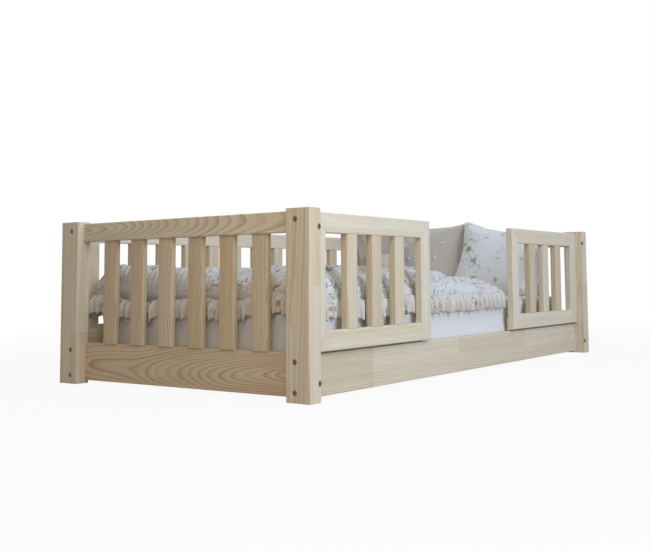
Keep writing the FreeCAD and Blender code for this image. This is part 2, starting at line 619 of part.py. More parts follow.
# ---------------------------------------------------------------- connector screws and keys
def connector_screw(name, grip):
    """One flat-headed screw, its head's top at the origin and its shank along Z."""
    body = doc.addObject("PartDesign::Body", name)
    low = "screwSink - screwHeadThick"
    primitive(body, "AdditiveCylinder", "head", {"Radius": "screwHeadWidth / 2", "Height": "screwHeadThick"},
              ("0 * screwSink", "0 * screwSink", low))
    shank = body.newObject("PartDesign::AdditivePrism", name + "_shank")
    shank.Polygon = HIDDEN_SIDES
    bind(shank, "Circumradius", "screwWidth / 2")
    bind(shank, "Height", f"{grip} + screwReach - screwSink - boreClearance")
    place(shank, ("0 * screwSink", "0 * screwSink", "screwSink"))
    primitive(body, "SubtractivePrism", "socket",
              {"Circumradius": "screwSocket / 2", "Height": "screwHeadThick"},
              ("0 * screwSink", "0 * screwSink", low))
    return body.Shape.copy()


length, width = size["bedLength"], size["bedWidth"]
long_screw = connector_screw("end_face_screw", "postAlong")
cross_screw = connector_screw("side_face_screw", "postAcross")
TOWARD_FOOT = Rotation(Vector(0, 1, 0), -90)
TOWARD_FRONT = Rotation(Vector(1, 0, 0), 90)
long_spots = []
cross_spots = []
for x, turn in ((0, ALONG_X), (length, TOWARD_FOOT)):
    for inset, height in (("barrierScrewInset", "barrierScrewHeight"), ("sideScrewInset", "sideHighScrewHeight"),
                          ("sideScrewInset", "sideLowScrewHeight")):
        for y in (size[inset], width - size[inset]):
            long_spots.append((Vector(x, y, size[height]), turn))
for y, turn in ((0, ALONG_Y), (width, TOWARD_FRONT)):
    for height in ("endRailScrewHeight", "endBoardScrewHeight"):
        for x in (size["endScrewInset"], length - size["endScrewInset"]):
            cross_spots.append((Vector(x, y, size[height]), turn))
copies("end_face_screws", rows_of(long_screw, long_spots))
copies("side_face_screws", rows_of(cross_screw, cross_spots))

thick, high, deep = size["keyThick"], size["keyHeight"], 2 * size["keyDepth"]
keys = []
for x in (size["postAlong"], length - size["postAlong"]):
    for y in (size["barrierRecess"], width - size["barrierInside"]):
        keys.append(Part.makeBox(deep, thick, high,
                                 Vector(x - deep / 2, y + (size["barrierThick"] - thick) / 2,
                                        size["barrierKeyHeight"] - high / 2)))
for y in (size["postAcross"], width - size["postAcross"]):
    for recess, board, height in (("endRailRecess", "endRailThick", "endRailKeyHeight"),
                                  ("endBoardRecess", "endBoardThick", "endBoardKeyHeight")):
        middle = size[recess] + size[board] / 2
        for x in (middle, length - middle):
            keys.append(Part.makeBox(thick, deep, high,
                                     Vector(x - thick / 2, y - deep / 2, size[height] - high / 2)))
copies("joint_keys", keys)


# ---------------------------------------------------------------- mattress
def soft(label, shape, at=Vector()):
    """A node with a soft solid, given from the foot end and the front face."""
    node = doc.addObject("Part::Feature", label)
    node.Shape = shape
    corner_to_middle = Vector(-size["bedLength"] / 2, -size["bedWidth"] / 2, 0)
    node.Placement = Placement(corner_to_middle + at, Rotation()).multiply(shape.Placement)
    node.Label = label
    parts.append(node)
    return node


def lofted(sections):
    """A ruled loft through straight-sided sections, laid in flat three-cornered panels."""
    panels = []
    for low, high in zip(sections, sections[1:]):
        for i in range(len(low)):
            j = (i + 1) % len(low)
            for corners in ((low[i], low[j], high[j]), (low[i], high[j], high[i])):
                panels.append(Part.Face(Part.makePolygon([*corners, corners[0]])))
    for end in (sections[0], sections[-1]):
        panels.append(Part.Face(Part.makePolygon(end + end[:1])))
    shell = Part.makeShell(panels)
    shell.sewShape()
    solid = Part.makeSolid(shell)
    if solid.Volume < 0:
        solid.reverse()
    return solid


def rounded_rectangle(x0, y0, x1, y1, radius, z):
    """An outline whose corners are quarter circles drawn in short flats."""
    points = []
    centres = ((x1 - radius, y1 - radius), (x0 + radius, y1 - radius),
               (x0 + radius, y0 + radius), (x1 - radius, y0 + radius))
    for number, (x, y) in enumerate(centres):
        for step in range(CORNER_FLATS + 1):
            angle = math.pi / 2 * (number + step / CORNER_FLATS)
            points.append(Vector(x + radius * math.cos(angle), y + radius * math.sin(angle), z))
    return points


def mattress():
    """A crowned block whose sides are drawn in between its rounded edges."""
    x0, y0 = size["mattressStart"], size["mattressNear"]
    thick, crown, edge = size["mattressThick"], size["mattressCrown"], size["mattressEdge"]
    border = thick - crown
    middle = min(size["mattressWidth"], size["mattressLength"]) / 2
    levels = ((0, edge), (edge, 0), (border / 2, size["mattressWaist"]), (border - edge, 0), (border, edge),
              (thick - crown / 4, middle * 0.4), (thick, middle * 0.75))
    sections = []
    for up, inset in levels:
        radius = max(size["mattressCorner"] - inset, size["mattressCorner"] / 3)
        sections.append(rounded_rectangle(x0 + inset, y0 + inset, size["bedLength"] - x0 - inset,
                                          size["bedWidth"] - y0 - inset, radius, up))
    return soft("mattress", lofted(sections), Vector(0, 0, size["baseTop"] + size["softGap"]))


bed = mattress()


# ---------------------------------------------------------------- duvet and its ruffle
DUVET_STATIONS = (   # share of the length, share of the full height, sideways shift of the folds
    (0.00, 0.30, 0.00),
    (0.10, 0.72, 0.02),
    (0.26, 0.95, -0.03),
    (0.45, 1.00, 0.03),
    (0.64, 0.90, -0.02),
    (0.82, 0.66, 0.03),
    (0.94, 0.42, 0.00),
    (1.00, 0.24, -0.01),
)
DUVET_FOLDS = (0.86, 1.00, 0.80, 0.94)   # heights of the folds across the bed
FOLD_VALLEY = 0.78                       # depth of a valley, as a share of the folds beside it
FOLD_FLATS = 4                           # flats across one fold


def duvet():
    """A quilt whose soft folds run along the bed, lofted through its cross-sections."""
    low = size["mattressTop"] + size["softGap"]
    near = size["mattressNear"]
    far = size["bedWidth"] - near
    edge = size["duvetEdgeThick"]
    sections = []
    for share, height, shift in DUVET_STATIONS:
        x = size["duvetStart"] + share * size["duvetLength"]
        rise = edge + (size["duvetHigh"] - edge) * height
        count = len(DUVET_FOLDS)
        valleys = [edge / 2]
        for i in range(1, count):
            valleys.append(rise * FOLD_VALLEY * (DUVET_FOLDS[i - 1] + DUVET_FOLDS[i]) / 2)
        valleys.append(edge / 2)
        seams = [near + (far - near) * (i / count + (shift if 0 < i < count else 0)) for i in range(count + 1)]
        points = [Vector(x, near, low)]
        for i in range(count):
            for step in range(FOLD_FLATS):
                part = step / FOLD_FLATS
                chord = valleys[i] + (valleys[i + 1] - valleys[i]) * part
                swell = (rise * DUVET_FOLDS[i] - (valleys[i] + valleys[i + 1]) / 2) * math.sin(math.pi * part)
                points.append(Vector(x, seams[i] + (seams[i + 1] - seams[i]) * part, low + chord + swell))
        points.append(Vector(x, far, low + edge / 2))
        points.append(Vector(x, far, low))
        sections.append(points)
    soft("duvet", lofted(sections))


def ruffle_strip(outside, inward):
    """One pleated strip that hangs beside the mattress; outside is its outer plane."""
    waves = int(size["ruffleWaves"])
    start, length = size["duvetStart"], size["duvetLength"]
    swing = size["ruffleDepth"] - size["ruffleThick"]
    line = [(start + length * i / (2 * waves), outside + inward * swing * (i % 2))
            for i in range(2 * waves + 1)]
    points = [Vector(x, y, 0) for x, y in line]
    points += [Vector(x, y + inward * size["ruffleThick"], 0) for x, y in reversed(line)]
    face = Part.Face(Part.makePolygon(points + points[:1]))
    high = size["ruffleDrop"] + size["duvetEdgeThick"] / 2
    strip = face.extrude(Vector(0, 0, high))
    strip.translate(Vector(0, 0, size["mattressTop"] - size["ruffleDrop"]))
    return strip


duvet()
front_plane = size["mattressNear"] - size["ruffleDepth"] - size["softGap"]
copies("duvet_ruffle", [ruffle_strip(front_plane, 1), ruffle_strip(size["bedWidth"] - front_plane, -1)])


# ---------------------------------------------------------------- pillows and cushions
CUSHION_SECTIONS = ((-0.50, 0.42), (-0.43, 0.66), (-0.28, 0.86), (-0.10, 0.97), (0.10, 0.97),
                    (0.28, 0.86), (0.43, 0.66), (0.50, 0.42))
SIDE_FLATS = 4        # flats along a side
SIDE_PULL = 0.055     # how far a side is drawn in at its middle, as a share of the width


def cushion_shape(wide, tall, thick):
    """A crowned cushion facing -X, with corners that stand out from its drawn-in sides."""
    sections = []
    for depth, share in CUSHION_SECTIONS:
        x, u, v = depth * thick, share * wide / 2, share * tall / 2
        pull = SIDE_PULL * min(wide, tall) * share
        corners = [(-u, -v), (u, -v), (u, v), (-u, v)]
        points = []
        for i, (y, z) in enumerate(corners):
            next_y, next_z = corners[(i + 1) % 4]
            inward = Vector(0, -(next_z - z), next_y - y).normalize()
            for step in range(SIDE_FLATS):
                part = step / SIDE_FLATS
                point = Vector(x, y + (next_y - y) * part, z + (next_z - z) * part)
                points.append(point + inward * (pull * math.sin(math.pi * part)))
        sections.append(points)
    return lofted(sections)


def leaning(shape, lean, turn):
    """Lean a cushion back about its lower edge and turn it on the spot."""
    leaned = shape.transformed(Placement(Vector(), Rotation(Vector(0, 1, 0), lean)).toMatrix())
    return leaned.transformed(Placement(Vector(), Rotation(Vector(0, 0, 1), turn)).toMatrix())


def seated(label, shape, back_x=None, middle_y=None, back_y=None):
    """Put a cushion on the mattress, its back against the planes that are given."""
    box = shape.BoundBox
    at = Vector(back_x - size["softGap"] - box.XMax, 0, size["mattressTop"] + size["softGap"] - box.ZMin)
    at.y = middle_y - box.Center.y if back_y is None else back_y - size["softGap"] - box.YMax
    moved = shape.copy()
    moved.translate(at)
    cushion = soft(label, moved)
    drop = cushion.Shape.distToShape(bed.Shape)[0] - size["softGap"]
    cushion.Placement = Placement(Vector(0, 0, -drop), Rotation()).multiply(cushion.Placement)
    return moved.BoundBox


head_plane = size["bedLength"] - size["endRailRecess"] - size["endRailThick"]
back_plane = size["bedWidth"] - size["barrierInside"]
lean = size["cushionLean"]
seated("pillow", leaning(cushion_shape(size["pillowWidth"], size["pillowTall"], size["pillowThick"]), lean, 0),
       back_x=head_plane, middle_y=size["pillowMiddle"])
dotted = seated("dotted_cushion",
                leaning(cushion_shape(size["dottedWidth"], size["dottedTall"], size["dottedThick"]), lean, 0),
                back_x=head_plane, middle_y=size["dottedMiddle"])
corner = seated("corner_cushion",
                leaning(cushion_shape(size["cornerWidth"], size["cornerTall"], size["cornerThick"]), lean, 90),
                back_x=dotted.XMin, back_y=back_plane)
seated("piped_cushion",
       leaning(cushion_shape(size["pipedWidth"], size["pipedTall"], size["pipedThick"]), size["pipedLean"], 90),
       back_x=dotted.XMin, back_y=corner.YMin)


# ---------------------------------------------------------------- checks and files
doc.recompute()
failed = [item.Label for item in doc.Objects if "Invalid" in item.State or "Error" in item.State]
failed += [node.Label for node in parts if node.Shape.isNull() or not node.Shape.isValid()]
if failed:
    raise RuntimeError("not valid: " + ", ".join(failed))
os.makedirs("parts", exist_ok=True)
for node in parts:
    node.Shape.exportStep(f"parts/{node.Label}.step")
print(f"{len(parts)} nodes, {sum(len(node.Shape.Solids) for node in parts)} solids")
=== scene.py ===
# %% [markdown]
# A low bed for a toddler, made of planed pine and dressed with a fitted sheet, a printed
# quilt with a gathered frill and four cushions.  The construction comes from a packed
# model, which stays where it is; this file gives every surface its finish and rebuilds
# the soft pieces.  Lengths are metres; X runs from the foot to the head, Y from the
# entry side to the back, and Z up.

# %% Load the frame
import math
import random

import bmesh
import bpy
from mathutils import Matrix, Vector, noise
from mathutils.bvhtree import BVHTree


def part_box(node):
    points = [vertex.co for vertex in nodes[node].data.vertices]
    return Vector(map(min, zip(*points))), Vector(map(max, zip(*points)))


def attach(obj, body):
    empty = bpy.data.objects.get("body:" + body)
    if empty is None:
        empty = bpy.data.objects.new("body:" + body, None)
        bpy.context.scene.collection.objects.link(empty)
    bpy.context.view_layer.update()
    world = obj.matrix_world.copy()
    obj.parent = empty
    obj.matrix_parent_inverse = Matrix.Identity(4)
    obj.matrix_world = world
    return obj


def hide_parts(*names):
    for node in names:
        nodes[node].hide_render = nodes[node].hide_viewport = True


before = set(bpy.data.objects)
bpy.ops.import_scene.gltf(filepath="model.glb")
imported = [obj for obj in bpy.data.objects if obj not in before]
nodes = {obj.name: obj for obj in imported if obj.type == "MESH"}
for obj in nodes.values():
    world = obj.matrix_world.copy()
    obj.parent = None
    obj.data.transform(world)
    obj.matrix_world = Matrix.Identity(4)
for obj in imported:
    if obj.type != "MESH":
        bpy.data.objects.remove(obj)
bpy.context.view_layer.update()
random.seed(11)
print(len(nodes), "packed nodes")

# %% [markdown]
# A material is a small machine of nodes.  A few helpers keep the wiring short: they add a
# node and plug in its values, do one step of arithmetic, mix colours, and open a group
# that several materials can share.


# %% Helpers for the node trees
def plug(tree, socket, value):
    """Give a socket a plain value, or wire another node's output to it."""
    if isinstance(value, bpy.types.NodeSocket):
        tree.links.new(value, socket)
    else:
        socket.default_value = value


def add(tree, kind, values=None, **settings):
    """Add a node; each value is a number, a colour or the output of another node."""
    node = tree.nodes.new(kind)
    for name, value in settings.items():
        setattr(node, name, value)
    for key, value in (values or {}).items():
        plug(tree, node.inputs[key], value)
    return node


def calc(tree, operation, a, b=0.0, c=0.0, clamp=False):
    """One arithmetic step."""
    node = add(tree, "ShaderNodeMath", {0: a, 1: b, 2: c}, operation=operation, use_clamp=clamp)
    return node.outputs[0]


def times(tree, a, b):
    """The product of two values."""
    return calc(tree, "MULTIPLY", a, b)


def from_half(tree, value):
    """How far a value is from one half."""
    return calc(tree, "ABSOLUTE", calc(tree, "SUBTRACT", value, 0.5))


def vector(tree, operation, a, b):
    """One step on vectors; b is a plain number when it scales."""
    key = "Scale" if operation == "SCALE" else 1
    return add(tree, "ShaderNodeVectorMath", {0: a, key: b}, operation=operation).outputs[0]


def mapped(tree, place, **values):
    """Turn or stretch coordinates."""
    return add(tree, "ShaderNodeMapping", {"Vector": place, **values}).outputs[0]


def parted(tree, place):
    """The three coordinates of a place."""
    return add(tree, "ShaderNodeSeparateXYZ", {0: place}).outputs


def clouds(tree, place, scale, detail, seed=None):
    """Soft noise; a seed picks its own slice of it."""
    values = {"Vector": place, "Scale": scale, "Detail": detail}
    if seed is None:
        return add(tree, "ShaderNodeTexNoise", values).outputs
    return add(tree, "ShaderNodeTexNoise", {**values, "W": seed}, noise_dimensions="4D").outputs


def drawn(tree, number):
    """A value and a colour drawn by lot from a number."""
    return add(tree, "ShaderNodeTexWhiteNoise", {"W": number}, noise_dimensions="1D").outputs


def fade(tree, value, low, high, start=0.0, end=1.0):
    """A smooth step from start to end while the value goes from low to high."""
    values = {"Value": value, "From Min": low, "From Max": high, "To Min": start, "To Max": end}
    return add(tree, "ShaderNodeMapRange", values, interpolation_type="SMOOTHSTEP").outputs["Result"]


def blend(tree, share, first, second, mode="MIX"):
    """Mix two colours."""
    values = {0: share, 6: first, 7: second}
    node = add(tree, "ShaderNodeMix", values, data_type="RGBA", blend_type=mode, clamp_factor=True)
    return node.outputs[2]


def emboss(tree, shader, height, strength, distance):
    """Let a height stand out as fine relief."""
    bump = add(tree, "ShaderNodeBump", {"Height": height, "Strength": strength, "Distance": distance})
    tree.links.new(bump.outputs[0], shader.inputs["Normal"])


def new_group(name, inputs, outputs):
    """A shader group with named sockets; an input is (label, kind, default)."""
    tree = bpy.data.node_groups.new(name, "ShaderNodeTree")
    for label, kind, default in inputs:
        socket = tree.interface.new_socket(label, in_out="INPUT", socket_type="NodeSocket" + kind)
        if default is not None:
            socket.default_value = default
    for label, kind in outputs:
        tree.interface.new_socket(label, in_out="OUTPUT", socket_type="NodeSocket" + kind)
    return tree, tree.nodes.new("NodeGroupInput").outputs, tree.nodes.new("NodeGroupOutput").inputs


def use_group(tree, group, values):
    """Place a group in a material."""
    return add(tree, "ShaderNodeGroup", values, node_tree=group).outputs


def srgb(red, green, blue):
    """A colour as it looks on a screen, 0 to 255, in the linear values that a shader wants."""
    linear = [c / 255 / 12.92 if c <= 10 else ((c / 255 + 0.055) / 1.055) ** 2.4 for c in (red, green, blue)]
    return (*linear, 1.0)


def new_material(name, roughness, sheen=0.0, metallic=0.0):
    """A material with its Principled shader, and the tree to wire into it."""
    material = bpy.data.materials.new(name)
    material.use_nodes = True
    shader = material.node_tree.nodes["Principled BSDF"]
    shader.inputs["Roughness"].default_value = roughness
    shader.inputs["Sheen Weight"].default_value = sheen
    shader.inputs["Metallic"].default_value = metallic
    return material, material.node_tree, shader


# %% [markdown]
# Pine is a stack of cones: each year adds a pale soft layer and a thin dark one.  Sawing a
# board cuts those cones lengthwise, so the same rule gives straight lines on one face and
# pointed arches on another.  The group measures the distance to a wandering pith and turns
# it into yearly rings.  Grain runs along the group's Z.

# %% Growth rings as a shader group
RING = 0.0075           # width of one year's growth
PITH_WANDER = 0.045     # how far the pith strays from a straight line
MIDDLE = (0.5, 0.5, 0.5)
LATE_FROM, LATE_PEAK = 0.30, 0.90   # where in a year the dark wood starts and is darkest
PALEST_YEAR = 0.45      # strength of the weakest ring
ALONG_GRAIN = (1.0, 1.0, 0.012)     # fibres are long and thin


def growth_rings():
    """Yearly rings round a wandering pith."""
    tree, given, made = new_group(
        "growth_rings",
        [("Vector", "Vector", None), ("Ring", "Float", RING), ("Wander", "Float", PITH_WANDER),
         ("Seed", "Float", 0.0)],
        [("Late", "Float"), ("Fibre", "Float"), ("Drift", "Float")])
    # The pith wanders slowly along the log.
    slow = mapped(tree, given["Vector"], Scale=(3.0, 3.0, 1.3))
    stray = vector(tree, "SUBTRACT", clouds(tree, slow, 1.6, 1.5, given["Seed"])["Color"], MIDDLE)
    bent = vector(tree, "ADD", given["Vector"], vector(tree, "SCALE", stray, given["Wander"]))
    parts = parted(tree, bent)
    square = calc(tree, "MULTIPLY_ADD", parts[1], parts[1], times(tree, parts[0], parts[0]))
    year = calc(tree, "DIVIDE", calc(tree, "SQRT", square), given["Ring"])
    share = calc(tree, "FRACT", year)
    rise = fade(tree, share, LATE_FROM, LATE_PEAK)
    fall = fade(tree, share, LATE_PEAK, 1.0, 1.0, 0.0)
    # Some years are darker than others.
    strength = drawn(tree, calc(tree, "FLOOR", year))["Value"]
    ring = times(tree, times(tree, rise, fall), fade(tree, strength, 0.0, 1.0, PALEST_YEAR, 1.0))
    fine = mapped(tree, bent, Scale=ALONG_GRAIN)
    tree.links.new(ring, made["Late"])
    tree.links.new(clouds(tree, fine, 900.0, 2.0, given["Seed"])["Fac"], made["Fibre"])
    tree.links.new(clouds(tree, fine, 45.0, 1.0, given["Seed"])["Fac"], made["Drift"])
    return tree


RINGS = growth_rings()

# %% [markdown]
# The posts and the long boards are glued up from short blocks, finger-jointed end to end.
# The group cuts a board into such blocks and hands each one its own number, which moves
# the rings and the colour, so that the grain breaks at every joint.

# %% Glued blocks as a shader group
BLOCK_JUMP = (0.09, 0.05, 2.0)      # how far apart in the log two blocks can come from
BLOCK_STEP, LANE_STEP = 7.31, 3.17  # uneven steps, so that no two blocks draw the same number


def glued_blocks():
    """Blocks in lanes, each with a place in the log and a tone of its own."""
    tree, given, made = new_group(
        "glued_blocks",
        [("Vector", "Vector", None), ("Width", "Float", 0.045), ("Length", "Float", 0.42),
         ("Seed", "Float", 0.0)],
        [("Vector", "Vector"), ("Tone", "Float"), ("Joint", "Float")])
    parts = parted(tree, given["Vector"])
    lanes = calc(tree, "DIVIDE", parts[1], given["Width"])
    lane = calc(tree, "FLOOR", lanes)
    lane_shift = drawn(tree, calc(tree, "ADD", lane, given["Seed"]))["Value"]
    along = calc(tree, "ADD", calc(tree, "DIVIDE", parts[2], given["Length"]), lane_shift)
    lane_number = calc(tree, "MULTIPLY_ADD", lane, LANE_STEP, given["Seed"])
    picked = drawn(tree, calc(tree, "MULTIPLY_ADD", calc(tree, "FLOOR", along), BLOCK_STEP, lane_number))
    jump = vector(tree, "MULTIPLY", picked["Color"], BLOCK_JUMP)
    edge = from_half(tree, calc(tree, "FRACT", along))
    side = from_half(tree, calc(tree, "FRACT", lanes))
    joint = calc(tree, "MAXIMUM", fade(tree, edge, 0.498, 0.4995), fade(tree, side, 0.488, 0.497))
    tree.links.new(vector(tree, "ADD", given["Vector"], jump), made["Vector"])
    tree.links.new(picked["Value"], made["Tone"])
    tree.links.new(joint, made["Joint"])
    return tree


BLOCKS = glued_blocks()

# %% [markdown]
# Each piece of timber gets a material of its own, so that no two boards carry the same
# figure.  A Mapping node turns the grain along the piece, and an offset picks where in
# the log the board was sawn.  Planed and matt, the wood has a low bump and a roughness
# near 0.5.

# %% Pine
EARLY, LATE, PALE = srgb(220, 209, 185), srgb(182, 154, 116), srgb(226, 219, 201)
TONE_TINT, TONE_SHARE = srgb(208, 182, 142), 0.36       # blocks and slats differ in tone
GLUE_TINT, GLUE_SHARE = srgb(150, 122, 84), 0.16        # the thin line of a glued joint
# A warm, darker tint: partly the wood's own tone, partly painted warm shade on the end pieces.
WARMTH_AND_SHADE_TINT = srgb(222, 186, 140)
FIBRE_SHARE = 0.16
SLAT_JUMP = (0.03, 0.05, 0.9)       # how far apart in the log two slats can come from
QUARTER = math.radians(90)
GRAIN_TURN = {"X": (0.0, QUARTER, 0.0), "Y": (QUARTER, 0.0, 0.0), "Z": (0.0, 0.0, 0.0)}


def pine(name, grain, sawn, ring=RING, wander=PITH_WANDER, glued=None, row=None, warmth_and_shade=0.0,
         contrast=0.62, tilt=0.0):
    """Pine for one piece: grain is its axis, sawn the offset to the pith, row repeats it per slat.

    tilt is the angle between the saw cut and the pith, in degrees: it stacks arches along the board.
    """
    material, tree, shader = new_material(name, 0.5)
    seed = (sum(map(ord, name)) % 97) * 0.61
    place = add(tree, "ShaderNodeTexCoord").outputs["Object"]
    tone = None
    if row:
        axis, start, pitch = row
        parts = dict(zip("XYZ", parted(tree, place)))
        from_start = calc(tree, "SUBTRACT", parts[axis], start)
        number = calc(tree, "FLOOR", calc(tree, "DIVIDE", from_start, pitch))
        middle = calc(tree, "MULTIPLY_ADD", calc(tree, "ADD", number, 0.5), pitch, start)
        parts[axis] = calc(tree, "SUBTRACT", parts[axis], middle)
        picked = drawn(tree, calc(tree, "ADD", number, seed))
        place = add(tree, "ShaderNodeCombineXYZ", parts).outputs[0]
    turned = mapped(tree, place, Rotation=GRAIN_TURN[grain])
    if glued:
        cut = use_group(tree, BLOCKS, {"Vector": turned, "Width": glued[0], "Length": glued[1],
                                       "Seed": seed})
        turned, tone = cut["Vector"], cut["Tone"]
    if row:
        turned = vector(tree, "ADD", turned, vector(tree, "MULTIPLY", picked["Color"], SLAT_JUMP))
        tone = picked["Value"]
    sawn_at = vector(tree, "ADD", turned, sawn)
    if tilt:
        sawn_at = mapped(tree, sawn_at, Rotation=(0.0, math.radians(tilt), 0.0))
    grown = use_group(tree, RINGS, {"Vector": sawn_at, "Ring": ring, "Wander": wander, "Seed": seed})
    base = blend(tree, fade(tree, grown["Drift"], 0.35, 0.65), EARLY, PALE)
    colour = blend(tree, times(tree, grown["Late"], contrast), base, LATE)
    fibre = fade(tree, grown["Fibre"], 0.42, 0.62, 0.0, FIBRE_SHARE)
    colour = blend(tree, fibre, colour, LATE, "MULTIPLY")
    if tone is not None:
        colour = blend(tree, times(tree, tone, TONE_SHARE), colour, TONE_TINT, "MULTIPLY")
    if glued:
        colour = blend(tree, times(tree, cut["Joint"], GLUE_SHARE), colour, GLUE_TINT)
    # The warm tint is partly the wood's own tone and partly painted warm shade.
    if warmth_and_shade:
        colour = blend(tree, warmth_and_shade, colour, WARMTH_AND_SHADE_TINT, "MULTIPLY")
    tree.links.new(colour, shader.inputs["Base Color"])
    rough = calc(tree, "MULTIPLY_ADD", grown["Late"], -0.10, 0.56)
    tree.links.new(rough, shader.inputs["Roughness"])
    relief = calc(tree, "MULTIPLY_ADD", grown["Late"], 0.6, times(tree, grown["Fibre"], 0.5))
    emboss(tree, shader, relief, 0.16, 0.0006)
    return material


def dress(node, material):
    """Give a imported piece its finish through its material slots; its mesh stays as it is."""
    for slot in nodes[node].material_slots:
        slot.material = material


# %% [markdown]
# Which way the grain runs follows how each piece is cut: along rails and boards, up posts,
# stiles and slats.  Moving the pith closer gives the arches of a flat-sawn board, as on
# the end rail and the board under it; far from the pith the lines stay straight.

# %% Finish the timber
UPRIGHTS = ("post_foot_front", "post_foot_back", "post_head_front", "post_head_back")
for number, name in enumerate(UPRIGHTS):
    dress(name, pine(name, "Z", (0.07 + 0.02 * number, 0.05, 0.4 * number), 0.006, 0.03,
                     glued=(0.0375, 0.30), contrast=0.5))

# The tilt of the pith in degrees, and where along the board it comes to the surface.
ARCHES = {"foot_top_rail": (6.5, -0.47), "foot_lower_board": (6.0, 0.45),
          "head_top_rail": (6.0, 0.46), "head_lower_board": (6.5, -0.46)}
PITH_OFF_MIDDLE = 0.012
for name, (tilt, surfaces) in ARCHES.items():
    low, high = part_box(name)
    face = low.x if name.startswith("foot") else high.x
    # The end rail and board get the warm tint: partly their own tone, partly painted warm shade of their end
    # faces, stronger on the lower board.
    side, warmth_and_shade = (1, 0.10) if "rail" in name else (-1, 0.42)
    sawn = (-face, (low.z + high.z) / 2 + PITH_OFF_MIDDLE * side, surfaces)
    dress(name, pine(name, "Y", sawn, 0.0050, 0.060, contrast=0.78, warmth_and_shade=warmth_and_shade, tilt=tilt))

BOARDS = ("front_side_board", "back_side_board")
for number, name in enumerate(BOARDS):
    dress(name, pine(name, "X", (0.05, 0.16, 0.5 * number), 0.0036, 0.012, glued=(0.052, 0.46),
                     contrast=0.34))

STILES = sorted(name for name in nodes if name.endswith("_stile"))
RAILS = sorted(name for name in nodes if "barrier" in name and name.endswith("_rail"))
STRIPS = sorted(name for name in nodes if name.endswith(("_ledge", "_cleat")))
for number, name in enumerate(STILES):
    dress(name, pine(name, "Z", (0.06 + 0.01 * number, 0.5 + 0.03 * number, 0.3), 0.0042, 0.02,
                     contrast=0.32))
for number, name in enumerate(RAILS + STRIPS):
    dress(name, pine(name, "X", (0.08, 0.46 + 0.02 * number, 0.7 * number), 0.0042, 0.03,
                     contrast=0.32))
dress("joint_keys", pine("key_wood", "Z", (0.1, 0.1, 0.0), 0.004, 0.01, contrast=0.5))
FINISHED = (UPRIGHTS, ARCHES, BOARDS, STILES, RAILS, STRIPS)
print("timber finished:", sum(len(group) for group in FINISHED), "pieces and the keys")

# %% [markdown]
# Every new piece goes through the same few steps: its points become a mesh, the mesh an
# object, what modifiers make of it is kept, and the imported pieces it replaces are hidden.


# %% Helpers for meshes
def placed(name, data):
    """A new object in the scene."""
    thing = bpy.data.objects.new(name, data)
    bpy.context.scene.collection.objects.link(thing)
    return thing


def mesh_of(name, mesh, *materials):
    """Turn a bmesh into mesh data."""
    data = bpy.data.meshes.new(name)
    mesh.to_mesh(data)
    mesh.free()
    for material in materials:
        data.materials.append(material)
    return data


def baked(thing):
    """The plain mesh that an object's modifiers or curve settings make."""
    bpy.context.view_layer.update()
    return bpy.data.meshes.new_from_object(thing.evaluated_get(bpy.context.evaluated_depsgraph_get()))


def smooth(data):
    """Shade every face smoothly."""
    data.polygons.foreach_set("use_smooth", [True] * len(data.polygons))


def one_material(data, material):
    """Give a whole mesh a single material."""
    data.materials.clear()
    data.materials.append(material)
    data.polygons.foreach_set("material_index", [0] * len(data.polygons))


def smooth_by_angle(piece, degrees=40.0):
    """Smooth shading that keeps the sharp corners."""
    smooth(piece.data)
    piece.data.set_sharp_from_angle(angle=math.radians(degrees))


def bridge(mesh, rings):
    """Faces between each closed ring of points and the next."""
    for low, high in zip(rings, rings[1:]):
        for i in range(len(low)):
            j = (i + 1) % len(low)
            mesh.faces.new((low[i], low[j], high[j], high[i]))


def box_of(points):
    """The low and the high corner round some points."""
    return (Vector([min(p[i] for p in points) for i in range(3)]),
            Vector([max(p[i] for p in points) for i in range(3)]))


def hand_over(piece, replaced=()):
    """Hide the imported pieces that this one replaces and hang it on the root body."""
    if replaced:
        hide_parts(*replaced)
    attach(piece, "root")


# %% [markdown]
# Slats stand in rows, so one small tree of geometry nodes draws them all: a rounded
# rectangle swept along a line, copied at an even pitch.  The named inputs are its sizes.
# The result is turned into a plain mesh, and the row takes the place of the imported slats,
# whose edges are bevelled and not rounded.

# %% A row of slats with geometry nodes
SLAT_ROUND = 0.004
TENON_LENGTH = 0.012
TENON_SHOULDER = 0.005
TENON_ROUND = 0.0004
TENON_BITE = 0.002      # how far a tenon at one end only reaches into the slat's body
WELD = 1e-6             # points closer than this are one point


def new_tree(name, inputs):
    """A geometry tree with named inputs; an input is (label, kind)."""
    tree = bpy.data.node_groups.new(name, "GeometryNodeTree")
    for label, kind in (("Geometry", "Geometry"), *inputs):
        tree.interface.new_socket(label, in_out="INPUT", socket_type="NodeSocket" + kind)
    tree.interface.new_socket("Geometry", in_out="OUTPUT", socket_type="NodeSocketGeometry")
    return tree, tree.nodes.new("NodeGroupInput").outputs, tree.nodes.new("NodeGroupOutput").inputs


def close_tree(tree, made, instances, material):
    """End a geometry tree in real geometry with a material."""
    real = add(tree, "GeometryNodeRealizeInstances", {0: instances})
    finish = add(tree, "GeometryNodeSetMaterial", {"Geometry": real.outputs[0], "Material": material})
    tree.links.new(finish.outputs[0], made[0])


def swept_bar(tree, width, thickness, rounding, reach, across):
    """A straight bar with rounded edges, swept from the origin along reach."""
    section = add(tree, "GeometryNodeCurvePrimitiveQuadrilateral", {"Width": width, "Height": thickness})
    soft = add(tree, "GeometryNodeFilletCurve",
               {"Curve": section.outputs[0], "Radius": rounding, "Count": 5}, mode="POLY")
    spine = add(tree, "GeometryNodeCurvePrimitiveLine", {"End": reach})
    normal = add(tree, "GeometryNodeSetCurveNormal", {"Curve": spine.outputs[0], "Normal": across},
                 mode="FREE")
    bar = add(tree, "GeometryNodeCurveToMesh", {"Curve": normal.outputs[0],
                                                "Profile Curve": soft.outputs[0], "Fill Caps": True})
    return bar.outputs[0]


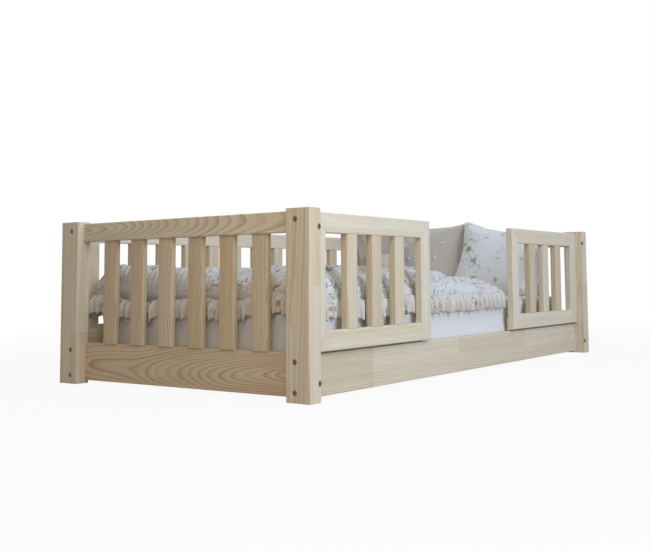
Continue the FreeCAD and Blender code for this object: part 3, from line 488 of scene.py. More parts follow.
def slat_row_tree():
    """Slats with tenons, copied along a line."""
    tree, given, made = new_tree("slat_row", (
        ("Count", "Int"), ("Start", "Vector"), ("Step", "Vector"), ("Across", "Vector"),
        ("Width", "Float"), ("Thickness", "Float"), ("Reach", "Vector"), ("Round", "Float"),
        ("Tenon From", "Vector"), ("Tenon Reach", "Vector"), ("Tenon Width", "Float"),
        ("Tenon Thickness", "Float"), ("Wood", "Material")))
    body = swept_bar(tree, given["Width"], given["Thickness"], given["Round"], given["Reach"],
                     given["Across"])
    tenon = swept_bar(tree, given["Tenon Width"], given["Tenon Thickness"], TENON_ROUND,
                      given["Tenon Reach"], given["Across"])
    moved = add(tree, "GeometryNodeTransform", {"Geometry": tenon, "Translation": given["Tenon From"]})
    both = add(tree, "GeometryNodeJoinGeometry")
    for part in (body, moved.outputs[0]):
        tree.links.new(part, both.inputs[0])
    spots = add(tree, "GeometryNodeMeshLine",
                {"Count": given["Count"], "Start Location": given["Start"], "Offset": given["Step"]},
                mode="OFFSET")
    row = add(tree, "GeometryNodeInstanceOnPoints",
              {"Points": spots.outputs[0], "Instance": both.outputs[0]})
    close_tree(tree, made, row.outputs[0], given["Wood"])
    return tree


def grown_mesh(name, tree, values, points=()):
    """Run a tree on a helper object and keep the result as a plain mesh at the origin."""
    seedling = bpy.data.meshes.new(name + "_seed")
    seedling.from_pydata(points, [], [])
    helper = placed(name + "_helper", seedling)
    modifier = helper.modifiers.new("nodes", "NODES")
    modifier.node_group = tree
    for item in tree.interface.items_tree:
        if item.in_out == "INPUT" and item.name in values:
            modifier[item.identifier] = values[item.name]
    data = baked(helper)
    data.name = name
    bpy.data.objects.remove(helper)
    return placed(name, data)


def welded(data):
    """A bmesh of some mesh data, with doubled points merged."""
    mesh = bmesh.new()
    mesh.from_mesh(data)
    bmesh.ops.remove_doubles(mesh, verts=mesh.verts, dist=WELD)
    return mesh


def outward(piece):
    """Point every face outwards after welding doubled points."""
    mesh = welded(piece.data)
    bmesh.ops.recalc_face_normals(mesh, faces=mesh.faces)
    mesh.to_mesh(piece.data)
    mesh.free()


def loose_boxes(thing):
    """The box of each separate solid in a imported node, read from a copy of its mesh."""
    mesh = welded(thing.data)
    todo = set(mesh.verts)
    found = []
    while todo:
        stack, island = [todo.pop()], []
        while stack:
            vert = stack.pop()
            island.append(vert.co.copy())
            for edge in vert.link_edges:
                other = edge.other_vert(vert)
                if other in todo:
                    todo.remove(other)
                    stack.append(other)
        found.append(box_of(island))
    mesh.free()
    return found


SLAT_ROW = slat_row_tree()


def slat_row(name, replaced, thickness_axis, wood, length_axis="Z", rounding=SLAT_ROUND,
             shoulders=(0.0, 0.0), tenon=0.0, tenon_shift=0.0):
    """Draw the rounded slats that stand for packed ones, reading their places from the frame.

    shoulders is how far the low and the high tenon reach past the slat's body, tenon their thickness.
    """
    boxes = [box for node in replaced for box in loose_boxes(nodes[node])]
    length_at, thick_at = "XYZ".index(length_axis), "XYZ".index(thickness_axis)
    width_at = 3 - length_at - thick_at
    boxes.sort(key=lambda box: box[0][width_at])
    low, high = boxes[0]
    length, width, thickness = (high[at] - low[at] for at in (length_at, width_at, thick_at))
    start, step, across = (low + high) / 2, Vector(), Vector()
    reach, tenon_from, tenon_reach = Vector(), Vector(), Vector()
    start[length_at] = low[length_at] + shoulders[0]
    reach[length_at] = length - sum(shoulders)
    tenon_from[length_at], tenon_from[thick_at] = -shoulders[0], tenon_shift
    tenon_reach[length_at] = length if shoulders[1] else shoulders[0] + TENON_BITE
    step[width_at] = (boxes[-1][0][width_at] - low[width_at]) / (len(boxes) - 1)
    across[width_at] = 1.0
    piece = grown_mesh(name, SLAT_ROW, {
        "Count": len(boxes), "Start": start, "Step": step, "Across": across, "Reach": reach,
        "Width": width, "Thickness": thickness, "Round": rounding, "Wood": wood,
        "Tenon From": tenon_from, "Tenon Reach": tenon_reach,
        "Tenon Width": width - 2 * TENON_SHOULDER, "Tenon Thickness": tenon or thickness / 2})
    outward(piece)
    smooth_by_angle(piece)
    hand_over(piece, replaced)
    print(name, len(boxes), "slats at", round(step.length * 1000, 1), "mm")


# %% Draw the rows
END_PITCH, SIDE_PITCH, BACK_PITCH = 0.1125, 0.111, 0.112
SIDE_SLAT, BASE_SLAT = 0.045, 0.068     # widths
BASE_SPACES = 12                        # between the middles of thirteen base slats
END_TENON, SIDE_TENON = 0.0076, 0.010   # thicknesses
END_TENON_SHIFT = 0.004                 # the lower tenon of an end slat sits off its middle
PITH_OUT = 0.02                         # from an end slat's lower-X face outwards to the pith
BOTH = (TENON_LENGTH, TENON_LENGTH)

for end, side in (("foot", -1), ("head", 1)):
    names = [f"{end}_slat_{i}" for i in range(1, 7)]
    low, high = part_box(names[0])
    start = (low.y + high.y) / 2 - END_PITCH / 2
    # The end slats get the warm tint too: partly their own tone, partly painted warm shade of their end
    # faces.
    wood = pine(f"{end}_slat_wood", "Z", (-low.x - PITH_OUT * side, 0.02, 0.2), 0.0034, 0.03,
                row=("Y", start, END_PITCH), contrast=0.72, warmth_and_shade=0.30, tilt=1.6)
    slat_row(f"{end}_slats", names, "X", wood, shoulders=(TENON_LENGTH, 0.0), tenon=END_TENON,
             tenon_shift=-END_TENON_SHIFT * side)
for end in ("foot", "head"):
    names = [f"{end}_barrier_slat_{i}" for i in range(1, 4)]
    low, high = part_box(names[0])
    start = (low.x + high.x) / 2 - SIDE_PITCH / 2
    wood = pine(f"{end}_barrier_wood", "Z", (0.06, 0.47, 0.2), 0.0055, 0.03,
                row=("X", start, SIDE_PITCH), contrast=0.5)
    slat_row(f"{end}_barrier_slats", names, "Y", wood, shoulders=BOTH, tenon=SIDE_TENON)
low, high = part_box("back_barrier_slats")
wood = pine("back_barrier_wood", "Z", (0.06, -0.47, 0.2), 0.0055, 0.03,
            row=("X", low.x + SIDE_SLAT / 2 - BACK_PITCH / 2, BACK_PITCH), contrast=0.5)
slat_row("back_slats", ["back_barrier_slats"], "Y", wood, shoulders=BOTH, tenon=SIDE_TENON)
low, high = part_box("base_slats")
base_pitch = (high.x - low.x - BASE_SLAT) / BASE_SPACES
wood = pine("base_slat_wood", "Y", (0.08, 0.05, 0.2), 0.006, 0.03,
            row=("X", low.x + BASE_SLAT / 2 - base_pitch / 2, base_pitch), contrast=0.5)
slat_row("base_slat_row", ["base_slats"], "Z", wood, length_axis="Y", rounding=0.003)

# %% [markdown]
# A connector screw shows as a flat bronze disc with a hexagon socket, sunk in a round
# counterbore.  The head is a profile spun round its axis; geometry nodes copy it to every
# hole.  The dark ring round it is only the shadow in the gap.

# %% Screw heads
HEAD_RADIUS = 0.007
HEAD_THICK = 0.0024
HEAD_SUNK = 0.0010      # post's face to the top of the head
HEAD_STEPS = 36
SOCKET = 0.0026
SIXTH = math.pi / 3


def hexagon_reach(angle):
    """Distance from the middle of a hexagon to its side, for a reach of one at its corners."""
    return math.cos(SIXTH / 2) / math.cos(angle % SIXTH - SIXTH / 2)


def screw_head_mesh():
    """A flat head with a soft rim and a hexagon socket, facing +Z, its top at the origin."""
    mesh = bmesh.new()
    profile = ((HEAD_RADIUS * 0.98, -HEAD_THICK), (HEAD_RADIUS, -HEAD_THICK * 0.7), (HEAD_RADIUS, -0.0007),
               (HEAD_RADIUS - 0.0003, -0.0002), (HEAD_RADIUS - 0.0009, 0.0))
    socket = ((SOCKET * 1.15, 0.0), (SOCKET, -0.0003), (SOCKET, -0.0018))
    rings = []
    for outline, reach_at in ((profile, lambda angle: 1.0), (socket, hexagon_reach)):
        for radius, height in outline:
            ring = []
            for i in range(HEAD_STEPS):
                angle = 2 * math.pi * i / HEAD_STEPS
                reach = radius * reach_at(angle)
                ring.append(mesh.verts.new((reach * math.cos(angle), reach * math.sin(angle), height)))
            rings.append(ring)
    bridge(mesh, rings)
    mesh.faces.new(reversed(rings[0]))
    mesh.faces.new(rings[-1])
    bmesh.ops.recalc_face_normals(mesh, faces=mesh.faces)
    return mesh_of("screw_head", mesh)


def copies_tree():
    """Copy one object to the points of a mesh, facing one way, each with its own turn and size."""
    tree, given, made = new_tree("copies_at_points", (
        ("Piece", "Object"), ("Facing", "Vector"), ("Turn", "Float"), ("Spread", "Float"),
        ("Seed", "Int"), ("Finish", "Material")))
    piece = add(tree, "GeometryNodeObjectInfo", {"Object": given["Piece"]}, transform_space="ORIGINAL")
    facing = add(tree, "FunctionNodeAlignRotationToVector", {"Vector": given["Facing"]}, axis="Z")
    least = calc(tree, "SUBTRACT", 1.0, given["Spread"])
    most = calc(tree, "ADD", 1.0, given["Spread"])
    # Sockets 2 and 3 of this node are the least and the most, and output 1 the number.
    scale = add(tree, "FunctionNodeRandomValue", {"Seed": given["Seed"], 2: least, 3: most},
                data_type="FLOAT")
    spin = add(tree, "FunctionNodeRandomValue", {"Seed": given["Seed"], 2: 0.0, 3: given["Turn"]},
               data_type="FLOAT")
    about = add(tree, "FunctionNodeAxisAngleToRotation",
                {"Axis": (0.0, 0.0, 1.0), "Angle": spin.outputs[1]})
    turned = add(tree, "FunctionNodeRotateRotation", {0: facing.outputs[0], 1: about.outputs[0]},
                 rotation_space="LOCAL")
    row = add(tree, "GeometryNodeInstanceOnPoints", {
        "Points": given["Geometry"], "Instance": piece.outputs["Geometry"],
        "Rotation": turned.outputs[0], "Scale": scale.outputs[1]})
    close_tree(tree, made, row.outputs[0], given["Finish"])
    return tree


def bronze(name, tint, rough):
    """Satin bronze with darker patches."""
    material, tree, shader = new_material(name, rough, metallic=1.0)
    place = add(tree, "ShaderNodeTexCoord").outputs["Object"]
    patches = clouds(tree, place, 420.0, 3.0)["Fac"]
    colour = blend(tree, fade(tree, patches, 0.4, 0.62), tint, srgb(92, 72, 50))
    tree.links.new(colour, shader.inputs["Base Color"])
    tree.links.new(fade(tree, patches, 0.35, 0.7, rough, rough + 0.2), shader.inputs["Roughness"])
    emboss(tree, shader, patches, 0.12, 0.0002)
    return material


def hidden_model(name, data):
    """An object that is only there to be copied."""
    model = placed(name, data)
    model.hide_render = True
    return model


def joined(name, things, finish):
    """Join several objects into one mesh with one finish."""
    mesh = bmesh.new()
    for thing in things:
        mesh.from_mesh(thing.data)
        bpy.data.objects.remove(thing)
    data = mesh_of(name, mesh)
    one_material(data, finish)
    return placed(name, data)


COPIES = copies_tree()
HEAD_FINISH = bronze("screw_bronze", srgb(142, 112, 82), 0.42)
head_model = hidden_model("screw_head_model", screw_head_mesh())

HALF_LENGTH, HALF_WIDTH = 0.860, 0.463
LONG_HOLES = ((0.045, 0.435), (0.0475, 0.096), (0.0475, 0.024))   # in from the side, height
CROSS_HOLES = ((0.038, 0.417), (0.038, 0.045))                    # in from the end, height


def screw_set(name, node, holes, face_at):
    """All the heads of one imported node, on the two faces across the axis face_at."""
    halves = (HALF_LENGTH, HALF_WIDTH)
    sets = []
    for side in (-1, 1):
        facing, spots = Vector(), []
        facing[face_at] = side
        for way in (-1, 1):
            for inset, height in holes:
                spot = [0.0, 0.0, height]
                spot[face_at] = side * (halves[face_at] - HEAD_SUNK)
                spot[1 - face_at] = way * (halves[1 - face_at] - inset)
                spots.append(spot)
        sets.append(grown_mesh(name + "_part", COPIES, {
            "Piece": head_model, "Facing": facing, "Turn": math.pi, "Spread": 0.0, "Seed": 3,
            "Finish": HEAD_FINISH}, spots))
    piece = joined(name, sets, HEAD_FINISH)
    smooth_by_angle(piece, 35.0)
    hand_over(piece, [node])
    print(name, 2 * len(spots), "heads")


screw_set("end_screw_heads", "end_face_screws", LONG_HOLES, 0)
screw_set("side_screw_heads", "side_face_screws", CROSS_HOLES, 1)

# %% [markdown]
# Cloth needs a weave that is too fine to model.  The group crosses rows of threads and
# roughens them with a noise; each fabric sets its own thread count.


# %% Weave as a shader group
def woven_threads():
    """Crossing threads with uneven yarn."""
    tree, given, made = new_group(
        "woven_threads", [("Vector", "Vector", None), ("Threads", "Float", 900.0), ("Slub", "Float", 0.4)],
        [("Height", "Float"), ("Tone", "Float")])
    turns = times(tree, given["Threads"], math.pi)
    rows = [calc(tree, "SINE", times(tree, part, turns)) for part in parted(tree, given["Vector"])]
    crossed = calc(tree, "ADD", calc(tree, "ADD", rows[0], rows[1]), rows[2])
    uneven = clouds(tree, given["Vector"], 260.0, 3.0)["Fac"]
    rough = times(tree, calc(tree, "SUBTRACT", uneven, 0.5), given["Slub"])
    tree.links.new(calc(tree, "ADD", times(tree, crossed, 0.2), rough), made["Height"])
    tree.links.new(calc(tree, "ADD", times(tree, rough, 0.8), 0.5, clamp=True), made["Tone"])
    return tree


WEAVE = woven_threads()

# %% [markdown]
# The print is a plain botanical one of this file's own: cells become blossoms with a dark
# eye, stretched cells become leaves, and thin contour lines of a noise become stalks.  A
# broad mask gathers them in loose clusters on a pale ground.

# %% Botanical print as a shader group
GROUND = srgb(240, 243, 246), srgb(236, 239, 244)
STALK, EYE, BERRY = srgb(104, 112, 104), srgb(112, 88, 78), srgb(92, 84, 92)
LEAVES = ((30.0, 0.6, srgb(166, 168, 128)), (36.0, -0.9, srgb(140, 152, 146)))  # cells, turn, green
PETAL = srgb(206, 184, 172), srgb(184, 152, 140)


def cells(tree, place, scale):
    """Cells, as the distance to each one's middle and three numbers of its own."""
    cell = add(tree, "ShaderNodeTexVoronoi", {"Vector": place, "Scale": scale})
    own = add(tree, "ShaderNodeSeparateColor", {0: cell.outputs["Color"]})
    return cell.outputs["Distance"], own.outputs


def botanical_print():
    """Stalks, leaves, blossoms and berries on a pale ground."""
    tree, given, made = new_group(
        "botanical_print", [("Vector", "Vector", None), ("Scale", "Float", 1.0), ("Cover", "Float", 0.5)],
        [("Color", "Color")])

    def inked(share, strength, below, tint):
        """Print a colour where share is one."""
        return blend(tree, times(tree, share, strength), below, tint)

    place = vector(tree, "SCALE", given["Vector"], given["Scale"])
    swirl = vector(tree, "SUBTRACT", clouds(tree, place, 9.0, 2.0)["Color"], MIDDLE)
    bent = vector(tree, "ADD", place, vector(tree, "SCALE", swirl, 0.05))
    cover = calc(tree, "SUBTRACT", given["Cover"], 0.5)
    cluster = calc(tree, "ADD", clouds(tree, place, 7.0, 1.0)["Fac"], cover)
    clustered = fade(tree, cluster, 0.44, 0.56)
    colour = blend(tree, clouds(tree, place, 3.0, 1.0)["Fac"], *GROUND)
    # Stalks: thin contour lines.
    near = from_half(tree, clouds(tree, bent, 16.0, 0.5)["Fac"])
    stalk = times(tree, fade(tree, near, 0.006, 0.016, 1.0, 0.0), clustered)
    colour = inked(stalk, 0.75, colour, STALK)
    # Leaves: cells stretched two ways, in two greens.
    for scale, turn, tint in LEAVES:
        laid = mapped(tree, bent, Rotation=(turn, turn * 0.7, turn), Scale=(1.0, 0.42, 0.7))
        distance, own = cells(tree, laid, scale)
        leaf = times(tree, fade(tree, distance, 0.24, 0.32, 1.0, 0.0), fade(tree, own[0], 0.45, 0.5))
        colour = inked(times(tree, leaf, clustered), 0.8, colour, tint)
    # Blossoms: rounder cells with a lobed rim and a dark eye.
    distance, own = cells(tree, bent, 13.0)
    lobes = clouds(tree, place, 60.0, 1.0)["Fac"]
    reach = calc(tree, "ADD", distance, times(tree, lobes, 0.16))
    chosen = fade(tree, own[1], 0.62, 0.66)
    bloom = times(tree, fade(tree, reach, 0.30, 0.34, 1.0, 0.0), chosen)
    eye = times(tree, fade(tree, reach, 0.10, 0.15, 1.0, 0.0), chosen)
    colour = inked(bloom, 0.85, colour, blend(tree, fade(tree, lobes, 0.4, 0.6), *PETAL))
    colour = inked(eye, 0.8, colour, EYE)
    # Berries: small dark dots beside the leaves.
    distance, own = cells(tree, place, 85.0)
    berry = times(tree, fade(tree, distance, 0.22, 0.30, 1.0, 0.0), fade(tree, own[2], 0.74, 0.78))
    colour = inked(times(tree, berry, clustered), 0.85, colour, BERRY)
    tree.links.new(colour, made["Color"])
    return tree


PRINT = botanical_print()

# %% [markdown]
# One function makes every fabric, from the weave, an optional print and a little wear in the
# tone; on the pillow that tint is near-white instead, as painted light.  A quilt and a frill
# carry their print on their own UV map, so that it follows the cloth into its folds.

# %% Fabrics
CLOTH_ROUGHNESS = 0.85
WEAR = srgb(196, 190, 182)
WEAR_SHARE = 0.22


def cloth(name, colour=None, threads=900.0, slub=0.4, sheen=0.25, relief=0.3, printed=None, uv=False,
          wear_and_light=WEAR):
    """A fabric: plain or printed, where printed is the print's scale and cover."""
    material, tree, shader = new_material(name, CLOTH_ROUGHNESS, sheen=sheen)
    coordinates = add(tree, "ShaderNodeTexCoord").outputs
    weave = use_group(tree, WEAVE, {"Vector": coordinates["Object"], "Threads": threads, "Slub": slub})
    if printed:
        pattern = {"Vector": coordinates["UV" if uv else "Object"], "Scale": printed[0],
                   "Cover": printed[1]}
        result = use_group(tree, PRINT, pattern)["Color"]
        if colour:
            result = blend(tree, 1.0, result, colour, "MULTIPLY")
    else:
        result = colour
    worn = times(tree, fade(tree, weave["Tone"], 0.3, 0.7), WEAR_SHARE)
    tree.links.new(blend(tree, worn, result, wear_and_light, "MULTIPLY"), shader.inputs["Base Color"])
    emboss(tree, shader, weave["Height"], relief, 0.0006)
    return material


SHEET_CLOTH = cloth("sheet_cotton", srgb(232, 231, 231), threads=1400.0, slub=0.25, relief=0.15)
QUILT_CLOTH = cloth("quilt_cotton", srgb(236, 234, 232), threads=1200.0, slub=0.3, relief=0.2,
                    printed=(1.9, 0.56), uv=True)
FRILL_CLOTH = cloth("frill_cotton", srgb(230, 222, 210), threads=1200.0, relief=0.2,
                    printed=(2.2, 0.46), uv=True)
# The pillow's near-white, cool tint is painted light: it lightens the cloth in place of light that the
# pillow's place lacks.
PILLOW_CLOTH = cloth("pillow_cotton", threads=1200.0, slub=0.3, relief=0.2, printed=(1.3, 0.48),
                     wear_and_light=srgb(240, 242, 246))
FLANGE_CLOTH = cloth("flange_cotton", srgb(236, 236, 238), threads=1200.0, relief=0.2)
TAUPE_CLOTH = cloth("taupe_linen", srgb(214, 210, 204), threads=520.0, slub=0.7, relief=0.5)
CORNER_CLOTH = cloth("corner_linen", srgb(180, 168, 156), threads=520.0, slub=0.7, relief=0.5)
BEIGE_CLOTH = cloth("beige_linen", srgb(206, 186, 170), threads=600.0, slub=0.6, relief=0.5)
PIPING_CLOTH = cloth("white_piping", srgb(240, 240, 240), threads=1500.0, relief=0.3)
WOOL = cloth("woollen_dots", srgb(240, 238, 232), threads=1600.0, slub=1.2, relief=0.9, sheen=0.6)
TAPE_CLOTH = cloth("base_tape", srgb(214, 210, 198), threads=700.0, slub=0.5, relief=0.6)
dress("base_tapes", TAPE_CLOTH)
print("fabrics ready")

# %% [markdown]
# A mattress in a fitted sheet is a crowned block: its edges are round, its sides pull in a
# little between them, and the top rises to the middle.  It is built from closed loops
# stacked from the bottom to the crown, then shifted by a fine noise for the slack of the
# sheet, with small gathers at the corners.

# %% Mattress
LOOP_STEPS = 88         # points on one straight side of a loop
CORNER_STEPS = 16
EDGE_STEPS, SIDE_STEPS, CROWN_STEPS = 6, 12, 26
MATTRESS_CROWN = 0.009
MATTRESS_EDGE = 0.016
MATTRESS_WAIST = 0.005
MATTRESS_CORNER = 0.070
LEAST_CORNER = 0.006
SHEET_INSET = 0.0016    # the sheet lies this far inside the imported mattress
GATHER_REACH = 0.16     # how far the gathers reach from a corner


def wave(x, y, z):
    """Smooth noise from -1 to 1."""
    return noise.noise(Vector((x, y, z)))


def rounded_loop(x0, y0, x1, y1, radius, z):
    """A rounded rectangle as an evenly walked closed loop."""
    points = []
    corners = ((x1 - radius, y1 - radius, 0), (x0 + radius, y1 - radius, 1),
               (x0 + radius, y0 + radius, 2), (x1 - radius, y0 + radius, 3))
    for number, (x, y, quarter) in enumerate(corners):
        for step in range(CORNER_STEPS + 1):
            angle = math.pi / 2 * (quarter + step / CORNER_STEPS)
            points.append(Vector((x + radius * math.cos(angle), y + radius * math.sin(angle), z)))
        nx, ny, _ = corners[(number + 1) % 4]
        last = points[-1]
        angle = math.pi / 2 * (quarter + 1)
        target = Vector((nx + radius * math.cos(angle), ny + radius * math.sin(angle), z))
        for step in range(1, LOOP_STEPS):
            points.append(last.lerp(target, step / LOOP_STEPS))
    return points


def stacked(name, loops, material):
    """A closed mesh through a stack of loops, with both ends filled."""
    mesh = bmesh.new()
    rings = [[mesh.verts.new(p) for p in loop] for loop in loops]
    bridge(mesh, rings)
    for ring, turned in ((rings[0], True), (rings[-1], False)):
        middle = mesh.verts.new(sum((v.co for v in ring), Vector()) / len(ring))
        for i in range(len(ring)):
            j = (i + 1) % len(ring)
            mesh.faces.new((ring[j], ring[i], middle) if turned else (ring[i], ring[j], middle))
    bmesh.ops.recalc_face_normals(mesh, faces=mesh.faces)
    data = mesh_of(name, mesh, material)
    smooth(data)
    return placed(name, data)


def mattress_levels(border, half):
    """Inset and height of each loop, from the lower edge to the crown."""
    levels = []
    for step in range(EDGE_STEPS + 1):
        angle = math.pi / 2 * step / EDGE_STEPS
        levels.append((MATTRESS_EDGE * (1 - math.sin(angle)), MATTRESS_EDGE * (1 - math.cos(angle))))
    for step in range(1, SIDE_STEPS):
        share = step / SIDE_STEPS
        levels.append((MATTRESS_WAIST * math.sin(math.pi * share),
                       MATTRESS_EDGE + (border - 2 * MATTRESS_EDGE) * share))
    for step in range(EDGE_STEPS + 1):
        angle = math.pi / 2 * step / EDGE_STEPS
        levels.append((MATTRESS_EDGE * (1 - math.cos(angle)),
                       border - MATTRESS_EDGE + MATTRESS_EDGE * math.sin(angle)))
    for step in range(1, CROWN_STEPS):
        share = step / CROWN_STEPS
        levels.append((MATTRESS_EDGE + (half * 0.96 - MATTRESS_EDGE) * share,
                       border + MATTRESS_CROWN * math.sin(math.pi / 2 * share)))
    return levels


def near_corner(value, limit):
    """One at the limit on either side, falling to none at the gathers' reach."""
    return max(0.0, 1 - min(abs(abs(value) - limit), GATHER_REACH) / GATHER_REACH)


def make_mattress():
    """The mattress with its sheet."""
    low, high = MATTRESS_BOX
    loops = []
    for inset, up in mattress_levels(high.z - MATTRESS_CROWN - low.z, (high.y - low.y) / 2):
        loops.append(rounded_loop(low.x + inset, low.y + inset, high.x - inset, high.y - inset,
                                  max(MATTRESS_CORNER - inset, LEAST_CORNER), low.z + up))
    piece = stacked("mattress_in_sheet", loops, SHEET_CLOTH)
    moves = []
    for vert in piece.data.vertices:
        p = vert.co
        slack = wave(p.x * 9, p.y * 9, p.z * 22) * 0.0012
        pull = wave(p.x * 2.2, p.y * 2.2, p.z * 5 + 3) * 0.0014
        corner = near_corner(p.x, high.x) * near_corner(p.y, high.y)
        gather = math.sin((p.x + p.y) * 260) * 0.0012 * corner
        side = 1.0 if low.z + 0.01 < p.z else 0.0
        moves.append(p - vert.normal * (SHEET_INSET - slack - pull - gather) * side)
    for vert, place in zip(piece.data.vertices, moves):
        vert.co = place
    return piece


def surface_of(piece):
    """A search tree over a finished mesh."""
    data = piece.data
    return BVHTree.FromPolygons([v.co.copy() for v in data.vertices],
                                [list(p.vertices) for p in data.polygons])


MATTRESS_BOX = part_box("mattress")
mattress = make_mattress()
hand_over(mattress, ["mattress"])
BED_SURFACE = surface_of(mattress)
RESTING_GAP = 0.0006
BORDER_INSET = 0.02     # beyond this line the border's height counts


def bed_height(x, y):
    """Height of the mattress under a point, or its border beyond the edge."""
    low, high = MATTRESS_BOX
    x = min(max(x, low.x + BORDER_INSET), high.x - BORDER_INSET)
    y = min(max(y, low.y + BORDER_INSET), high.y - BORDER_INSET)
    hit = BED_SURFACE.ray_cast(Vector((x, y, 1.0)), Vector((0, 0, -1)))[0]
    return hit.z if hit else high.z


print("mattress", len(mattress.data.vertices), "points, top at", round(bed_height(0, 0), 4))

# %% [markdown]
# A quilt that lies loose is all folds.  Its upper side is a height over the mattress: a
# long swell, four soft folds along the bed, and crossing creases from a warped noise.
# Near the hem the frill gathers it into short puckers.  The lower side follows the
# mattress, so the quilt is a closed padded shape.

# %% Quilt
QUILT_PROFILE = (0.78, 0.94, 1.00, 1.00, 0.90, 0.68, 0.46, 0.34)
QUILT_STATIONS = (0.00, 0.10, 0.26, 0.45, 0.64, 0.82, 0.94, 1.00)
QUILT_FOLDS = (0.86, 1.00, 0.80, 0.94)
QUILT_CREASES = ((0.020, 6.0, 0.55, 2.0), (0.011, 12.0, -0.45, 5.0))    # height, scale, turn, seed
QUILT_WRINKLES = (0.0032, 27.0, 0.8, 9.0)
QUILT_EDGE = 0.020
QUILT_LEAST = 0.004     # least thickness
QUILT_NX, QUILT_NY = 260, 210
QUILT_SPREAD = 0.020    # how far the loose end lies past its solid
PUCKER_PITCH, PUCKER_HEIGHT, PUCKER_REACH = 0.021, 0.0055, 0.045
FOOT_RISE = 0.022       # how far the quilt is bunched up in the back corner of the foot


def eased(share):
    """A smooth step from 0 to 1."""
    return share * share * (3 - 2 * share)


def profile(share):
    """Share of the full height along the quilt, from the foot."""
    for i in range(len(QUILT_STATIONS) - 1):
        a, b = QUILT_STATIONS[i], QUILT_STATIONS[i + 1]
        if share <= b:
            rise = QUILT_PROFILE[i + 1] - QUILT_PROFILE[i]
            return QUILT_PROFILE[i] + rise * eased((share - a) / (b - a))
    return QUILT_PROFILE[-1]


def crease(x, y, height, scale, turn, seed):
    """Soft-crested creases that run in one main direction."""
    u = x * math.cos(turn) + y * math.sin(turn)
    v = -x * math.sin(turn) + y * math.cos(turn)
    warp = wave(x * 5 + seed, y * 5, seed) * 0.09
    value = wave((u + warp) * scale, v * scale * 0.30, seed)
    return height * math.exp(-(value * 3.4) ** 2)


def quarter_round(distance, reach):
    """Height of a round edge, one at its reach."""
    return math.sqrt(max(0.0, 1 - (1 - min(1.0, distance / reach)) ** 2))


def quilt_top(x, y, low, high):
    """Height of the quilt's upper side over the mattress."""
    share = min(max((x - low.x) / (high.x - low.x), 0.0), 1.0)
    across = min(max((y - low.y) / (high.y - low.y), 0.0), 1.0)
    near_foot = max(0.0, 1 - share * 3.0)
    rise = QUILT_EDGE + (high.z - low.z - QUILT_EDGE) * profile(share)
    lane = across * 4 + 0.12 * math.sin(share * 7.0)
    fold = QUILT_FOLDS[min(3, max(0, int(lane)))]
    next_fold = QUILT_FOLDS[min(3, max(0, int(lane) + 1))]
    part = lane - math.floor(lane)
    swell = 0.86 + 0.14 * math.sin(math.pi * part) ** 0.8
    body = rise * (fold + (next_fold - fold) * eased(part)) * swell
    body += crease(x, y, *QUILT_CREASES[0]) + crease(x, y, *QUILT_CREASES[1]) - 0.012
    body += crease(x, y, *QUILT_WRINKLES) + 0.006 * wave(x * 5, y * 5, 4)
    edge = min(y - low.y, high.y - y)
    ends = min(x - low.x, high.x - x)
    along = x if edge < ends else y
    pucker = math.sin(along * 2 * math.pi / PUCKER_PITCH + 3 * wave(x * 9, y * 9, 1))
    body += PUCKER_HEIGHT * pucker * math.exp(-min(edge, ends) / PUCKER_REACH)
    round_side = quarter_round(edge, 0.105 - 0.088 * near_foot)
    round_end = quarter_round(ends, 0.030 if x - low.x < high.x - x else 0.06)
    rounded = round_side * (0.30 + 0.70 * round_end)
    least = QUILT_EDGE * 0.75
    ceiling = high.z - low.z + 0.006 + 0.016 * near_foot * across
    body += FOOT_RISE * max(0.0, 1 - share * 4.0) * across
    return min(least + max(0.0, body - least) * rounded, ceiling)


def make_quilt():
    """Two sheets of points, upper and lower, closed along the hem."""
    low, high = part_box("duvet")
    high.x += QUILT_SPREAD
    mesh = bmesh.new()
    uv = mesh.loops.layers.uv.new("cloth")
    top, bottom, walked = [], [], {}
    for i in range(QUILT_NX + 1):
        x = low.x + (high.x - low.x) * i / QUILT_NX
        row, under, length, before = [], [], 0.0, None
        for j in range(QUILT_NY + 1):
            y = low.y + (high.y - low.y) * j / QUILT_NY
            floor = bed_height(x, y) + RESTING_GAP
            height = low.z + quilt_top(x, y, low, high)
            vert = mesh.verts.new((x, y, max(height, floor + QUILT_LEAST)))
            if before is not None:
                length += (vert.co - before).length
            before = vert.co.copy()
            walked[vert] = (x, length)
            row.append(vert)
            lower = mesh.verts.new((x, y, floor))
            walked[lower] = (x, y + 2.0)
            under.append(lower)
        top.append(row)
        bottom.append(under)
    for i in range(QUILT_NX):
        for j in range(QUILT_NY):
            mesh.faces.new((top[i][j], top[i + 1][j], top[i + 1][j + 1], top[i][j + 1]))
            mesh.faces.new((bottom[i][j], bottom[i][j + 1], bottom[i + 1][j + 1], bottom[i + 1][j]))
    for i in range(QUILT_NX):
        mesh.faces.new((top[i][0], bottom[i][0], bottom[i + 1][0], top[i + 1][0]))
        mesh.faces.new((top[i + 1][-1], bottom[i + 1][-1], bottom[i][-1], top[i][-1]))
    for j in range(QUILT_NY):
        mesh.faces.new((top[0][j + 1], bottom[0][j + 1], bottom[0][j], top[0][j]))
        mesh.faces.new((top[-1][j], bottom[-1][j], bottom[-1][j + 1], top[-1][j + 1]))
    for face in mesh.faces:
        face.smooth = True
        for loop in face.loops:
            loop[uv].uv = walked[loop.vert]
    return placed("quilt", mesh_of("quilt", mesh, QUILT_CLOTH))


quilt = make_quilt()
hand_over(quilt, ["duvet"])
print("quilt", len(quilt.data.vertices), "points")

# %% [markdown]
# The frill is cut as strips of cotton that are longer than the hem they are sewn to, so it
# stands in pleats that open towards its free edge.  It is walked along the hem: at each
# step a column of points drops from the seam, swinging in and out further the lower it is.

